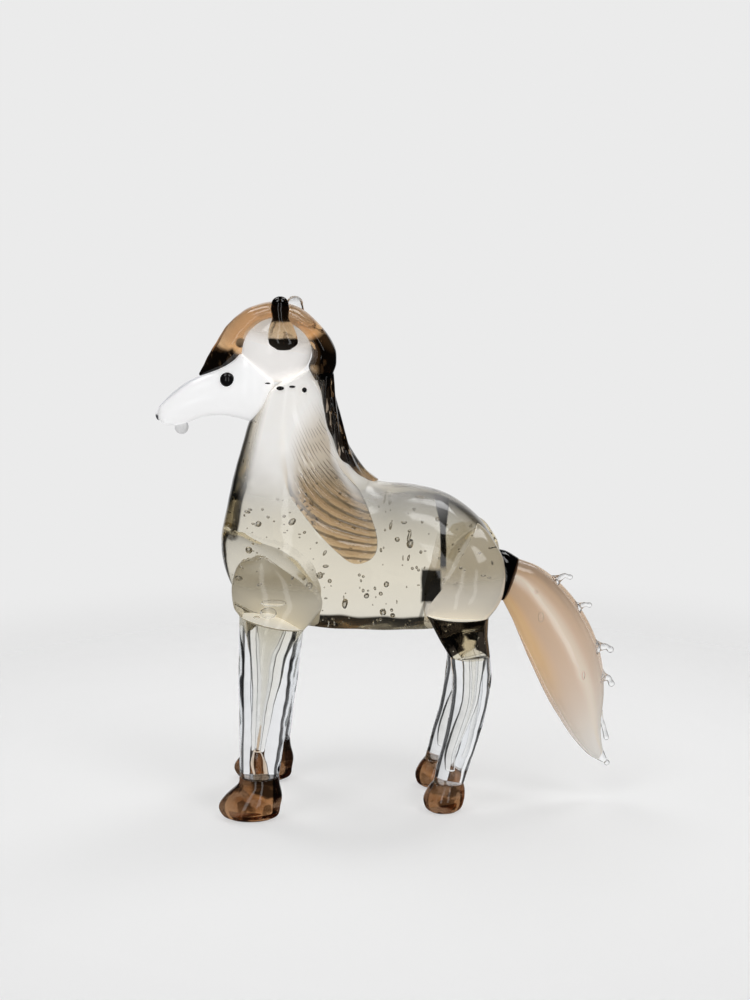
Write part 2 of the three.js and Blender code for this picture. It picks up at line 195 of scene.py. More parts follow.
class Placed:
    """A node just added, whose outputs are taken by name or number."""

    def __init__(self, shader, node):
        self.shader = shader
        self.node = node

    def out(self, name=0):
        return Wire(self.shader, self.node.outputs[name])


class Shader:
    """Builds one node tree. node() is the only way in which a node is added."""

    def __init__(self, tree):
        self.tree = tree
        tree.nodes.clear()

    def node(self, kind, settings=None, inputs=None):
        """Adds a node of a type, sets its own settings first, then gives its sockets values or links."""
        node = self.tree.nodes.new(kind)
        for key, value in (settings or {}).items():
            setattr(node, key, value)
        for key, value in (inputs or {}).items():
            if isinstance(value, Wire):
                self.tree.links.new(value.socket, node.inputs[key])
            else:
                node.inputs[key].default_value = value
        return Placed(self, node)

    def blend(self, factor, first, second):
        """The first colour where factor is 0 and the second where it is 1."""
        settings = {"data_type": "RGBA", "clamp_factor": True}
        inputs = {0: factor, 6: as_rgba(first), 7: as_rgba(second)}
        return self.node("ShaderNodeMix", settings, inputs).out(2)

    def skin(self, inputs):
        return self.node("ShaderNodeBsdfPrincipled", None, inputs).out()

    def lit_from_within(self, hue, roughness, glow, **more):
        """Opal of one hue, which passes some light on from all round: a painted glow, its emission, stands in
        for that light.
        """
        inputs = {"Base Color": hue, "Roughness": roughness, "Emission Color": hue, "Emission Strength": glow}
        return self.skin({**inputs, **more})

    def mixed(self, share, first, second):
        """The first surface where share is 0 and the second where it is 1."""
        return self.node("ShaderNodeMixShader", None, {0: share, 1: first, 2: second}).out()

    def place(self):
        """Object coordinates as three wires, in millimetres."""
        coordinates = self.node("ShaderNodeTexCoord").out("Object")
        split = self.node("ShaderNodeSeparateXYZ", None, {0: coordinates})
        return [split.out(axis) * 1000 for axis in range(3)]

    def form(self):
        """Where a point lies on its own surface: along it from 0 to 1, and around it from 0 to 1."""
        split = self.node("ShaderNodeSeparateXYZ", None, {0: self.node("ShaderNodeUVMap").out()})
        return split.out(0), split.out(1)

    def noise(self, size, detail=2.0, stretch=(1, 1, 1)):
        """A smooth noise from 0 to 1 whose lumps are about size millimetres across."""
        coordinates = self.node("ShaderNodeTexCoord").out("Object")
        scale = tuple(1000 / (size * s) for s in stretch)
        mapped = self.node("ShaderNodeMapping", None, {"Vector": coordinates, "Scale": scale})
        inputs = {"Vector": mapped.out(), "Scale": 1.0, "Detail": detail, "Roughness": 0.5}
        return self.node("ShaderNodeTexNoise", None, inputs).out(0)

    def bump(self, height, distance):
        """A normal roughened by a height, whose full range is a distance in millimetres."""
        inputs = {"Height": height, "Distance": distance * MM, "Strength": 1.0}
        return self.node("ShaderNodeBump", None, inputs).out()

    def finish(self, surface, volume=None):
        inputs = {"Surface": surface}
        if volume is not None:
            inputs["Volume"] = volume
        self.node("ShaderNodeOutputMaterial", None, inputs)


def as_rgba(colour):
    return colour if isinstance(colour, Wire) else (*colour[:3], 1.0)


def material_with(name, build):
    """A new material whose node tree a function fills."""
    material = bpy.data.materials.new(name)
    material.use_nodes = True
    build(Shader(material.node_tree))
    return material


# ---- The glasses ----

HAIR_PITCH = 1.05  # millimetres between the hair lines high on the mane lobe
BURIED = "Buried"  # how deep, in millimetres, a point of one gather lies inside the next
LIT_FILM_MARK = 2.0  # stands there instead where a pale seam film with a painted glow hides the gather behind it; it thins out to 1
VEIL_GLOW = 0.42  # the painted glow, an emission, that stands in for the light a veil of opal passes on from all round
FILM = (0.80, 0.77, 0.69)  # the colour of the pale film with a painted glow on the seams of clear glass
# the strength of the seam film's painted glow
FILM_GLOW = 0.62
SHADE_AND_SMUDGE_BLACK = (0.001, 0.001, 0.001)  # the near-black surface colour painted on the body for shade, and for one dark smudge


def absorption(shader, kept, strength=1.0):
    """A plain absorbing volume that keeps the given colour of light over 10 mm, or over 10 mm / strength."""
    loss = [-math.log(max(c, 1e-4)) * strength / (10 * MM) for c in kept]
    density = max(max(loss), 1.0)
    colour = tuple(1 - value / density for value in loss)
    return shader.node("ShaderNodeVolumeAbsorption", None, {"Color": (*colour, 1.0), "Density": density}).out()


def glass(name, kept, tint=None, ior=1.5, ripple=0.02, ripple_size=7.0, strength=1.0, veil=None, film=None):
    """Fire-polished transparent glass: soft ripples in its skin, and colour from the light that it absorbs.
    Where a skin is buried in the gather it is fused to, light passes it unbent. A veil is a function that
    gives the share of opal in the glass, and its colour; the opal has a painted glow. A film is one that gives
    the colour of a thin pale film with a painted glow, on the seams that are marked for it."""

    def build(shader):
        skin = shader.bump(shader.noise(ripple_size, detail=1.0), ripple)
        inputs = {
            "Base Color": tint(shader) if tint else (1.0, 1.0, 1.0, 1.0),
            "Roughness": shader.noise(11.0) * 0.02,
            "IOR": ior,
            "Transmission Weight": 1.0,
            "Normal": skin,
        }
        surface = shader.skin(inputs)
        if veil:
            share, hue = veil(shader)
            # The veil's opal carries a painted glow.
            cloudy = shader.lit_from_within(hue, 0.1, VEIL_GLOW, Normal=skin)
            surface = shader.mixed(share, surface, cloudy)
        buried = shader.node("ShaderNodeAttribute", {"attribute_name": BURIED}).out("Fac")
        unbent = shader.node("ShaderNodeBsdfTransparent").out()
        surface = shader.mixed(buried.math("GREATER_THAN", 0.0), surface, unbent)
        if film:
            # The marked seams get a pale film that glows: painted light, not a lamp.
            pale = shader.lit_from_within(film(shader), 0.9, FILM_GLOW)
            surface = shader.mixed(buried.ramp(1.0, LIT_FILM_MARK), surface, pale)
        shader.finish(surface, absorption(shader, kept, strength))

    return material_with(name, build)


def solid_glass(name, colour, roughness=0.06, glow=0.0, ripple=0.02):
    """Opal glass, which light enters and leaves again: a bright soft body, lifted by a painted glow, under a
    glossy skin.
    """

    def build(shader):
        rough = shader.noise(6.0) * 0.04 + roughness
        normal = shader.bump(shader.noise(8.0, detail=1.0), ripple)
        shader.finish(shader.lit_from_within(colour(shader), rough, glow, IOR=1.5, Normal=normal))

    return material_with(name, build)


def opal_colour(shader):
    """White, with painted shade greying it along the ridge of the nose, and a painted dark refraction as a line
    at its very tip.
    """
    x, _, z = shader.place()
    along, around = shader.form()
    # Painted shade along the ridge of the nose.
    ridge = abs(around - 0.5).ramp(0.38, 0.49) * (1 - along.ramp(0.30, 0.60))
    cloud = shader.noise(9.0)
    white = shader.blend(cloud * 0.5, colours().opal, (0.93, 0.925, 0.92))
    shaded = shader.blend(ridge * 0.8, white, (0.42, 0.42, 0.47))
    # Painted dark refraction: a line at the very tip of the muzzle.
    tip = (1 - x.ramp(-65.9, -65.3)) * (1 - z.ramp(115.0, 115.8))
    return shader.blend(tip, shaded, (0.05, 0.05, 0.06))


def opaline_colour(shader):
    """Tan at the tail's root, paler towards the tip, with streaks drawn out along its length, a painted
    highlight as a light band near its upper edge and an orange one along its lower edge, and painted shade on
    its top near the root."""
    along, around = shader.form()
    streaks = shader.noise(2.4, detail=3.0, stretch=(1.0, 1.0, 6.0))
    root = shader.blend(streaks * 0.6, colours().opaline, (0.70, 0.52, 0.35))
    middle = shader.blend(along.ramp(0.05, 0.55), root, (0.74, 0.57, 0.43))
    drawn = shader.blend(along.ramp(0.40, 0.95), middle, (0.86, 0.83, 0.78))
    from_under = abs(around - 0.5)
    # Painted highlight: a light band near the upper edge.
    band = from_under.between(0.27, 0.33, 0.03)
    lit = shader.blend(band * 0.7, drawn, (0.90, 0.80, 0.68))
    # Painted highlight: an orange band along the lower edge.
    under = (1 - from_under.ramp(0.10, 0.20)) * (1 - along.ramp(0.30, 0.62))
    orange_highlit = shader.blend(under * 0.75, lit, (0.86, 0.58, 0.30))
    # Painted shade: darker along the top near the root.
    top = from_under.ramp(0.38, 0.43) * (1 - along.ramp(0.2, 0.5))
    return shader.blend(top * 0.6, orange_highlit, (0.42, 0.31, 0.23))


def black_colour(shader):
    return shader.blend(shader.noise(0.8), (0.004, 0.004, 0.005), (0.012, 0.011, 0.012))


# ---- Surfaces ----


def smooth_run(rows, count):
    """A smooth run through rows of numbers: between two rows each number follows the cubic whose slope at a
    row is half the difference of that row's two neighbours. Returns count rows, evenly spaced."""
    rows = np.asarray(rows, float)
    at = np.linspace(0, len(rows) - 1, count)
    i = np.minimum(at.astype(int), len(rows) - 2)
    f = (at - i)[:, None]
    ends = np.vstack([2 * rows[0] - rows[1], rows, 2 * rows[-1] - rows[-2]])
    a, b, c, d = (ends[i + k] for k in range(4))
    return b + 0.5 * f * (c - a + f * (2 * a - 5 * b + 4 * c - d + f * (3 * b - a - 3 * c + d)))


def turns(around):
    return np.linspace(0, TAU, around, endpoint=False)


def rib_rings(rows, along, around):
    """Rings hung between two outlines. A row is (top x, top z, under x, under z, half width). Each ring is an
    ellipse whose upright radius joins the two outlines and whose other radius is the half width: the middle
    plus cos(turn) of the upright, and sin(turn) of the width, with turn 0 at the top."""
    v = smooth_run(rows, along)
    top, under, half = v[:, 0:2], v[:, 2:4], v[:, 4]
    middle = (top + under) / 2
    up = (top - under) / 2
    turn = turns(around)
    rings = np.empty((along, around, 3))
    rings[..., 0] = middle[:, 0:1] + up[:, 0:1] * np.cos(turn)
    rings[..., 1] = half[:, None] * np.sin(turn)
    rings[..., 2] = middle[:, 1:2] + up[:, 1:2] * np.cos(turn)
    return rings


def level_rings(rows, side, along, around, step=0.0):
    """Level rings on one side of the horse. A row is (x, y, z, half length, half width, rise). A point is the
    ring's middle plus cos(turn) of the length and sin(turn) of the width, raised by rise for each millimetre
    along x. Its foot is moved along x by step, in proportion to how far it is below the shoulder."""
    x, y, z, long, wide, rise = (column[:, None] for column in smooth_run(rows, along).T)
    turn = turns(around)
    dx = long * np.cos(turn)
    rings = np.empty((along, around, 3))
    rings[..., 0] = x + step * np.maximum(0, 1 - z / SHOULDER_SEAM_Z) + dx
    rings[..., 1] = side * (y + wide * np.sin(turn))
    rings[..., 2] = z + rise * dx
    return rings


def thread_rings(points, radii, along, around):
    """A round thread along a smooth line: at each station a circle square to the line, of a smoothly varying
    radius."""
    run = smooth_run(np.column_stack([points, radii]), along)
    line, radius = run[:, :3], run[:, 3]
    ahead = np.gradient(line, axis=0)
    ahead /= np.linalg.norm(ahead, axis=1, keepdims=True)
    side = np.cross(ahead, (0.31, 0.9, 0.29))
    side /= np.linalg.norm(side, axis=1, keepdims=True)
    other = np.cross(ahead, side)
    turn = turns(around)[None, :, None]
    return line[:, None] + radius[:, None, None] * (
        np.cos(turn) * side[:, None] + np.sin(turn) * other[:, None]
    )


def domed(rings, start=0.5, end=0.5, round_start=1.0, round_end=1.0):
    """The same rings with both ends closed in: the end ring shrinks by cos(a) to a power while it moves out
    by sin(a) of the dome's height, for a from 0 to a quarter turn. A small power leaves the end nearly flat."""
    a = np.linspace(0, np.pi / 2, CAP_ROWS + 2)[1:-1, None, None]

    def cap(ring, inner, height, power):
        middle = ring.mean(0)
        out = middle - inner.mean(0)
        out /= np.linalg.norm(out)
        return middle + (ring - middle) * np.cos(a) ** power + out * height * np.sin(a)

    first = cap(rings[0], rings[1], start, round_start)[::-1]
    last = cap(rings[-1], rings[-2], end, round_end)
    return np.concatenate([first, rings, last])


def ball_rings(centre, radii, along=40, around=64):
    """An ellipsoid about an upright axis: rings at polar angles spaced evenly, each a circle of sin(polar)."""
    polar = np.linspace(0, np.pi, along + 2)[1:-1, None]
    turn = turns(around)
    unit = np.stack(
        [np.sin(polar) * np.cos(turn), np.sin(polar) * np.sin(turn), np.cos(polar) + 0 * turn], axis=-1
    )
    return np.asarray(centre) + unit * np.asarray(radii)


def pressed(rings, centre, radii, depth, soft=0.0):
    """The same points, with those deeper than depth inside an ellipsoid moved out along its radius to that
    depth, so that a gather is dished where it sits on a ball. With a soft share of the radius, the turn from
    one surface to the other is a fillet: the smooth maximum of the two reaches."""
    centre, radii = np.asarray(centre), np.asarray(radii)
    keep = 1 - depth / radii.mean()
    reach = np.maximum(np.linalg.norm((rings - centre) / radii, axis=-1, keepdims=True), 1e-6)
    wanted = (reach + keep + np.sqrt((reach - keep) ** 2 + soft**2)) / 2
    return centre + (rings - centre) * wanted / reach


def waved(rings, height, length=13.0):
    """Soft hand-made waves: each point moves outwards from its ring's middle by the sum of three sines of its
    place, of different directions and lengths."""
    middle = rings.mean(axis=1, keepdims=True)
    out = rings - middle
    out /= np.maximum(np.linalg.norm(out, axis=-1, keepdims=True), 1e-6)
    x, y, z = np.moveaxis(rings, -1, 0) * TAU / length
    wave = np.sin(x + 0.6 * z) + 0.7 * np.sin(1.7 * y - 0.8 * z) + 0.5 * np.sin(2.3 * z + 1.1 * x)
    return rings + out * (height * wave / 2.2)[..., None]


# ---- Meshes ----


def grid_faces(along, around):
    """Quads between neighbouring rings, and the fans that close both ends, with the place of each corner on
    the surface for its UV map."""
    i, j = (g.ravel() for g in np.meshgrid(np.arange(along - 1), np.arange(around), indexing="ij"))
    k = (j + 1) % around
    quads = np.stack([i * around + j, i * around + k, (i + 1) * around + k, (i + 1) * around + j], axis=1)
    u0, u1, v0, v1 = i / (along - 1), (i + 1) / (along - 1), j / around, (j + 1) / around
    quad_uv = np.stack([u0, v0, u0, v1, u1, v1, u1, v0], axis=1).reshape(-1, 4, 2)
    j = np.arange(around)
    k = (j + 1) % around
    start, end = along * around, along * around + 1
    last = (along - 1) * around
    first_fan = np.stack([np.full(around, start), k, j], axis=1)
    last_fan = np.stack([np.full(around, end), last + j, last + k], axis=1)
    fans = np.concatenate([first_fan, last_fan])
    v0, v1 = j / around, (j + 1) / around
    zero, one = np.zeros(around), np.ones(around)
    first_uv = np.stack([zero, v0, zero, v1, zero, v0], axis=1)
    last_uv = np.stack([one, v0, one, v0, one, v1], axis=1)
    fan_uv = np.concatenate([first_uv, last_uv]).reshape(-1, 3, 2)
    return quads, fans, quad_uv, fan_uv


def signed_volume(points, triangles):
    a, b, c = (points[triangles[:, k]] for k in range(3))
    return np.einsum("ij,ij->i", a, np.cross(b, c)).sum()


def surface_arrays(rings):
    """Points, quads, triangles and UVs of a closed skin over rings, turned so that its faces look outwards."""
    along, around = rings.shape[:2]
    points = np.concatenate([rings.reshape(-1, 3), [rings[0].mean(0), rings[-1].mean(0)]])
    quads, fans, quad_uv, fan_uv = grid_faces(along, around)
    triangles = np.concatenate([quads[:, [0, 1, 2]], quads[:, [0, 2, 3]], fans])
    if signed_volume(points, triangles) < 0:
        quads, fans = quads[:, ::-1], fans[:, ::-1]
        quad_uv, fan_uv = quad_uv[:, ::-1], fan_uv[:, ::-1]
    return points, quads, fans, quad_uv, fan_uv


def mesh_piece(name, points, quads, triangles, quad_uv=None, triangle_uv=None):
    """One smooth-shaded object, its points given in millimetres and its place kept in its mesh."""
    mesh = bpy.data.meshes.new(name)
    mesh.from_pydata((points * MM).tolist(), [], quads.tolist() + triangles.tolist())
    mesh.polygons.foreach_set("use_smooth", np.ones(len(mesh.polygons), bool))
    if quad_uv is not None:
        corners = np.concatenate([quad_uv.reshape(-1, 2), triangle_uv.reshape(-1, 2)])
        mesh.uv_layers.new(name="Form").data.foreach_set("uv", corners.ravel().astype(np.float32))
    mesh.update()
    piece = bpy.data.objects.new(name, mesh)
    bpy.context.scene.collection.objects.link(piece)
    return piece


def settle(piece, material, node=None, check=True):
    """Gives a piece its glass, its body and the solid that it stands for, and with check makes sure that its
    box is where the solid's box is."""
    piece.data.materials.append(material)
    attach(piece, "root")
    if node:
        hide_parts(node)
    if node and check:
        solid = np.array(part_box(node)) / MM
        points = np.empty(len(piece.data.vertices) * 3)
        piece.data.vertices.foreach_get("co", points)
        points = points.reshape(-1, 3) / MM
        stray = np.abs(np.array([points.min(0), points.max(0)]) - solid).max()
        if stray > PLACE_TOLERANCE:
            raise RuntimeError(f"{piece.name} stands {stray:.1f} mm away from the box of {node}")


def gather(node, rings, material, check=True, buried=None):
    """A piece of glass over rings, standing for its solid. buried is the depth of each ring point inside the
    gathers that this one is fused to."""
    points, quads, fans, quad_uv, fan_uv = surface_arrays(rings)
    name = node.removesuffix("_gather") + "_glass"
    piece = mesh_piece(name, points, quads, fans, quad_uv, fan_uv)
    if buried is not None:
        depths = np.concatenate([buried.ravel(), [buried[0].mean(), buried[-1].mean()]])
        attribute = piece.data.attributes.new(BURIED, "FLOAT", "POINT")
        attribute.data.foreach_set("value", np.clip(depths, -1, LIT_FILM_MARK).astype(np.float32))
    settle(piece, material, node, check)


# ---- The body's own form, which other gathers are laid against ----

# Ribs from the dock forward along the barrel and up the neck.
BODY_RIBS = (
    (33.0, 72.0, 32.0, 64.0, 4.0),
    (31.5, 77.0, 28.0, 56.5, 12.5),
    (26.6, 84.9, 20.0, 53.0, 17.5),
    (18.1, 91.6, 12.0, 52.5, 19.0),
    (8.0, 94.6, 2.0, 52.1, 19.5),
    (-1.0, 95.4, -9.0, 52.3, 19.5),
    (-5.0, 96.6, -21.0, 53.0, 19.5),
    (-7.0, 98.5, -33.0, 55.5, 19.5),
    (-9.0, 100.5, -42.8, 61.5, 19.5),
    (-11.5, 103.0, -47.2, 70.0, 18.5),
    (-13.5, 106.0, -48.3, 79.0, 17.0),
    (-15.0, 109.0, -46.6, 88.0, 15.0),
    (-16.5, 113.0, -44.6, 97.0, 12.5),
    (-17.5, 118.0, -42.0, 106.0, 10.5),
    (-19.0, 123.0, -39.5, 114.0, 9.3),
    (-22.0, 128.0, -36.0, 121.0, 7.5),
)
RIB_SAMPLES = 500
POINTS_AT_ONCE = 4000


def body_side(x, z):
    """How far the body reaches from the midline at each place seen from the side, and 0 beyond its outline.
    A place lies on the rib whose line its cross product changes sign at, and its share c of that rib gives
    the half width times the root of 1 - c squared."""
    shape = x.shape
    places = np.stack([x.ravel(), z.ravel()], axis=1)
    v = smooth_run(BODY_RIBS, RIB_SAMPLES)
    middle, up, half = (v[:, 0:2] + v[:, 2:4]) / 2, (v[:, 0:2] - v[:, 2:4]) / 2, v[:, 4]
    found = np.zeros(len(places))
    for start in range(0, len(places), POINTS_AT_ONCE):
        offset = places[start : start + POINTS_AT_ONCE, None] - middle
        cross = up[:, 0] * offset[..., 1] - up[:, 1] * offset[..., 0]
        share = (offset * up).sum(-1) / (up**2).sum(-1)
        gap = cross[:, 1:] - cross[:, :-1]
        f = np.clip(-cross[:, :-1] / np.where(gap == 0, 1, gap), 0, 1)
        on_rib = (cross[:, :-1] * cross[:, 1:] <= 0) & (np.abs(share[:, 1:]) < 1.2)
        c = share[:, :-1] * (1 - f) + share[:, 1:] * f
        reach = (half[:-1] * (1 - f) + half[1:] * f) * np.sqrt(np.clip(1 - c**2, 0, None))
        found[start : start + POINTS_AT_ONCE] = np.where(on_rib, reach, 0).max(1)
    return found.reshape(shape)


def laid_on_body(rings, depth, soft=0.5):
    """The same rings, with what would be deeper than depth inside the body moved out to that depth. The turn
    from one surface to the other is a rounded corner: the smooth maximum of the two distances."""
    x, y, z = np.moveaxis(rings, -1, 0)
    side = np.sign(y.mean())
    inner = body_side(x, z) - depth
    out = np.where(inner > 0, inner, -soft)
    reach = y * side
    gap = np.clip(0.5 + 0.5 * (reach - out) / soft, 0, 1)
    smooth = out + (reach - out) * gap + soft * gap * (1 - gap)
    laid = np.where(inner > 0, smooth, reach)
    return np.stack([x, side * laid, z], axis=-1)


# Level rows of the pieces fused to the body's sides: x, y, z, half length, half width, rise.
SHOULDER_ROWS = (
    (-35.3, 14.8, 77.2, 2.5, 3.5, 0.0),
    (-34.4, 14.2, 75.0, 7.4, 5.0, 0.0),
    (-33.0, 13.8, 71.0, 10.9, 6.6, 0.0),
    (-31.8, 13.9, 66.4, 12.7, 7.8, 0.0),
    (-31.4, 14.5, 62.0, 12.4, 8.2, 0.0),
    (-33.0, 15.2, SHOULDER_SEAM_Z, 9.4, 8.0, -0.22),
)
HAUNCH_ROWS = (
    (21.4, 4.6, 85.4, 3.4, 1.6, 0.0),
    (22.0, 7.6, 82.8, 6.2, 3.9, 0.0),
    (22.6, 10.2, 79.2, 8.2, 5.6, 0.0),
    (23.2, 11.6, 74.8, 9.8, 7.2, 0.0),
    (22.5, 12.1, 68.6, 10.9, 8.7, 0.0),
    (21.1, 12.3, 63.2, 10.9, 8.8, 0.0),
    (19.9, 12.4, GASKIN_SEAM_Z, 9.1, 8.0, -0.03),
)
GASKIN_ROWS = (
    (19.9, 12.4, GASKIN_SEAM_Z + 0.2, 9.0, 7.8, -0.03),
    (21.5, 12.4, 52.8, 7.2, 6.6, 0.0),
    (23.5, 12.3, HOCK_SEAM_Z, 5.8, 5.7, 0.0),
)
FRONT_CASING_ROWS = (
    (-33.0, 15.2, SHOULDER_SEAM_Z + 0.2, 9.2, 7.8, -0.22),
    (-34.3, 16.0, 46.0, 8.3, 6.9, -0.06),
    (-35.2, 16.5, 34.0, 7.4, 6.2, 0.0),
    (-36.2, 16.9, 23.0, 6.4, 5.7, 0.0),
    (-37.0, FRONT_FOOT_Y, 12.7, 5.6, 5.2, 0.0),
)
# The mane lobe's outline, seen from the horse's left: x, z.
LOBE_OUTLINE = (
    (-21.0, 127.2),
    (-26.2, 122.4),
    (-30.0, 115.0),
    (-30.6, 106.0),
    (-28.4, 96.6),
    (-22.1, 87.4),
    (-15.0, 79.6),
    (-9.4, 75.7),
    (-4.2, 77.6),
    (-3.1, 83.0),
    (-6.4, 92.0),
    (-12.2, 102.0),
    (-16.0, 112.0),
    (-17.4, 121.0),
)


def lobe_loop(count):
    """The lobe's outline as a smooth closed line of count places."""
    edge = smooth_run(LOBE_OUTLINE * 3, len(LOBE_OUTLINE) * 3 * 40 + 1)
    third = len(edge) // 3
    return edge[third : 2 * third][np.linspace(0, third - 1, count).astype(int)]


def depth_in_body(rings, first_cap=0.0, last_cap=0.0):
    """How deep points of a side piece are inside the body. Its end caps that meet another piece take the
    depth, or the mark, that is given for them."""
    x, y, z = np.moveaxis(rings, -1, 0)
    reach = body_side(x, z)
    depth = np.where(reach > 0, reach - np.abs(y), -1.0)
    if first_cap:
        depth[:CAP_ROWS] = first_cap
    if last_cap:
        depth[-CAP_ROWS:] = last_cap
    return depth


def filmed(depth, z, start, end):
    """The same depths, with a seam film of painted glow on what is buried, that sets in below start and is full
    at end.
    """
    share = np.clip((start - z) / (start - end), 0, 1)
    return np.where(depth > 0.1, 1 + share * (LIT_FILM_MARK - 1), np.minimum(depth, 1))


def lobe_cover(x, z):
    """How far inside the lobe's own skin a place is. High on the neck the skin starts 1.6 mm in from the
    outline, so that it grows out of the neck with no edge."""
    return depth_in_outline(x, z, lobe_loop(80)) - 1.6 * np.clip((z - 95) / 6, 0, 1)


def depth_in_levels(points, rows):
    """How deep points are inside a piece made of level rings, from its two sides and its two ends."""
    along, across, z = points[..., 0], np.abs(points[..., 1]), points[..., 2]
    v = smooth_run(rows, 300)[::-1]
    cx, cy, long, wide = (np.interp(z, v[:, 2], v[:, k]) for k in (0, 1, 3, 4))
    share = (along - cx) / long
    half = wide * np.sqrt(np.clip(1 - share**2, 0, None))
    sides = np.where(np.abs(share) < 1, half - np.abs(across - cy), -1.0)
    return np.minimum(sides, np.minimum(v[-1, 2] - z, z - v[0, 2] + 0.2))


def depth_in_outline(x, z, outline):
    """How far places seen from the side lie inside a closed outline: the distance to its nearest edge, whose
    sign comes from how many edges a level line from the place crosses."""
    best = np.full(x.shape, np.inf)
    crossed = np.zeros(x.shape, int)
    for (x0, z0), (x1, z1) in zip(outline, np.roll(outline, -1, axis=0)):
        dx, dz = x1 - x0, z1 - z0
        t = np.clip(((x - x0) * dx + (z - z0) * dz) / (dx * dx + dz * dz), 0, 1)
        best = np.minimum(best, np.hypot(x - x0 - t * dx, z - z0 - t * dz))
        spans = (z0 > z) != (z1 > z)
        crossed += spans & (x < x0 + (z - z0) * dx / (dz if dz else 1.0))
    return np.where(crossed % 2 == 1, best, -best)


# ---- Operators, one for each gather or group of like gathers ----


class GlassHorseOperator:
    """What every step shares: it runs its own make method and reports success."""

    bl_options = {"REGISTER", "UNDO"}

    def execute(self, context):
        self.make()
        return {"FINISHED"}


class GLASSHORSE_OT_body(GlassHorseOperator, bpy.types.Operator):
    """Lay down the smoky gather of the barrel, chest and neck"""

    bl_idname = "glass_horse.body"
    bl_label = "Body gather"

    def make(self):
        rings = rib_rings(BODY_RIBS, 260, 160)
        rings = domed(rings, 0.9, 1.0)
        rings = pressed(waved(rings, sizes().wobble), SKULL_CENTRE, SKULL_RADII, sizes().fuse)
        buried = np.full(rings.shape[:2], -1.0)
        for rows in (SHOULDER_ROWS, HAUNCH_ROWS, GASKIN_ROWS, FRONT_CASING_ROWS):
            buried = np.maximum(buried, depth_in_levels(rings, rows))
        x, y, z = np.moveaxis(rings, -1, 0)
        buried = np.maximum(buried, np.where(y < -2, lobe_cover(x, z), -1.0))
        # The body's tint carries painted shade along the rump, the throat and the left haunch.
        seeded = glass("Smoky seeded glass", colours().smoke, tint=painted_shade_and_smudge, veil=neck_milk)
        gather("body_gather", rings, seeded, True, buried)


def smoky_glass():
    return bpy.data.materials.get("Smoky glass") or glass("Smoky glass", colours().smoke, film=smoky_film)


def smoky_film(shader):
    """The beige film of painted glow low in the humps, where they meet the legs, darker in the shoulders."""
    x, _, _ = shader.place()
    return shader.blend(x.ramp(-5.0, 5.0), (0.44, 0.41, 0.345), (0.56, 0.525, 0.465))


def pale_film(shader):
    """The pale film of painted glow on the seams of the clear legs and the gaskins."""
    return shader.blend(shader.noise(6.0), [c * 0.96 for c in FILM], FILM)


def painted_shade_and_smudge(shader):
    """Clear, but for painted shade where the glass would show dark refraction: along the rump's ridge, down the
    front of the neck and in front of the left haunch, where it meets the body; and for one dark smudge on the
    chest."""
    along, around = shader.form()
    x, y, z = shader.place()
    left = 1 - y.ramp(-4.0, 0.0)
    wander = (shader.noise(5.0, detail=2.0) - 0.5) * 1.6
    from_under = abs(around - 0.5)
    # Painted shade: the dark refraction along the top of the rump.
    ridge = from_under.ramp(0.40, 0.46) * (1 - along.ramp(0.22, 0.38))
    # Painted shade: the dark refraction down the front of the neck.
    throat = (1 - from_under.ramp(0.07, 0.115)) * along.between(0.70, 0.96, 0.04)
    # Painted shade: a dark line, edge and patch along the front of the left haunch, where it meets the body.
    off_line = abs(x - 15.5 + wander * 0.25) - z.ramp(84.0, 93.0) * 1.4
    line = (1 - off_line.ramp(0.65, 1.05)) * z.between(74.0, 95.0, 1.2)
    edge = (x - z * 0.235).between(-5.2, -4.1, 0.3) * z.between(58.0, 66.0, 1.0)
    patch = (x + wander * 0.5).between(9.2, 15.0, 0.4) * (z + wander * 0.6).between(64.0, 74.3, 0.7)
    smudge_x, smudge_z = x + 44.6 + wander, z - 82.0 + wander * 1.5
    smudge = 1 - (smudge_x * smudge_x + smudge_z * smudge_z * 2).root().ramp(1.4, 2.6)
    marks = line.most(patch).most(edge * 0.8)
    dark = (marks * left).most(ridge * 0.92).most(throat * 0.98)
    dark = dark.most(smudge * 0.85)
    return shader.blend(dark, (1.0, 1.0, 1.0), SHADE_AND_SMUDGE_BLACK)


def milk(shader):
    """The haze of white opal that thickens up the neck, and its colour."""
    _, _, z = shader.place()
    share = (z + shader.noise(12.0) * 8.0).ramp(88.0, 112.0) * 0.9
    return share, shader.blend(shader.noise(9.0), (0.78, 0.765, 0.74), (0.86, 0.85, 0.835))


def neck_milk(shader):
    """The neck's haze, which leaves its front edge clear."""
    _, around = shader.form()
    share, hue = milk(shader)
    return share * abs(around - 0.5).ramp(0.10, 0.17), hue


def clear_glass():
    return bpy.data.materials.get("Clear glass") or glass("Clear glass", colours().clear, film=pale_film)


def air(name="Air", tint=(1.0, 1.0, 1.0)):
    """The air in a seed, seen from the glass around it: the index turned upside down."""

    def build(shader):
        inputs = {
            "Base Color": (*tint, 1.0),
            "Roughness": shader.noise(3.0) * 0.01,
            "IOR": 1 / 1.5,
            "Transmission Weight": 1.0,
        }
        shader.finish(shader.skin(inputs))

    return bpy.data.materials.get(name) or material_with(name, build)


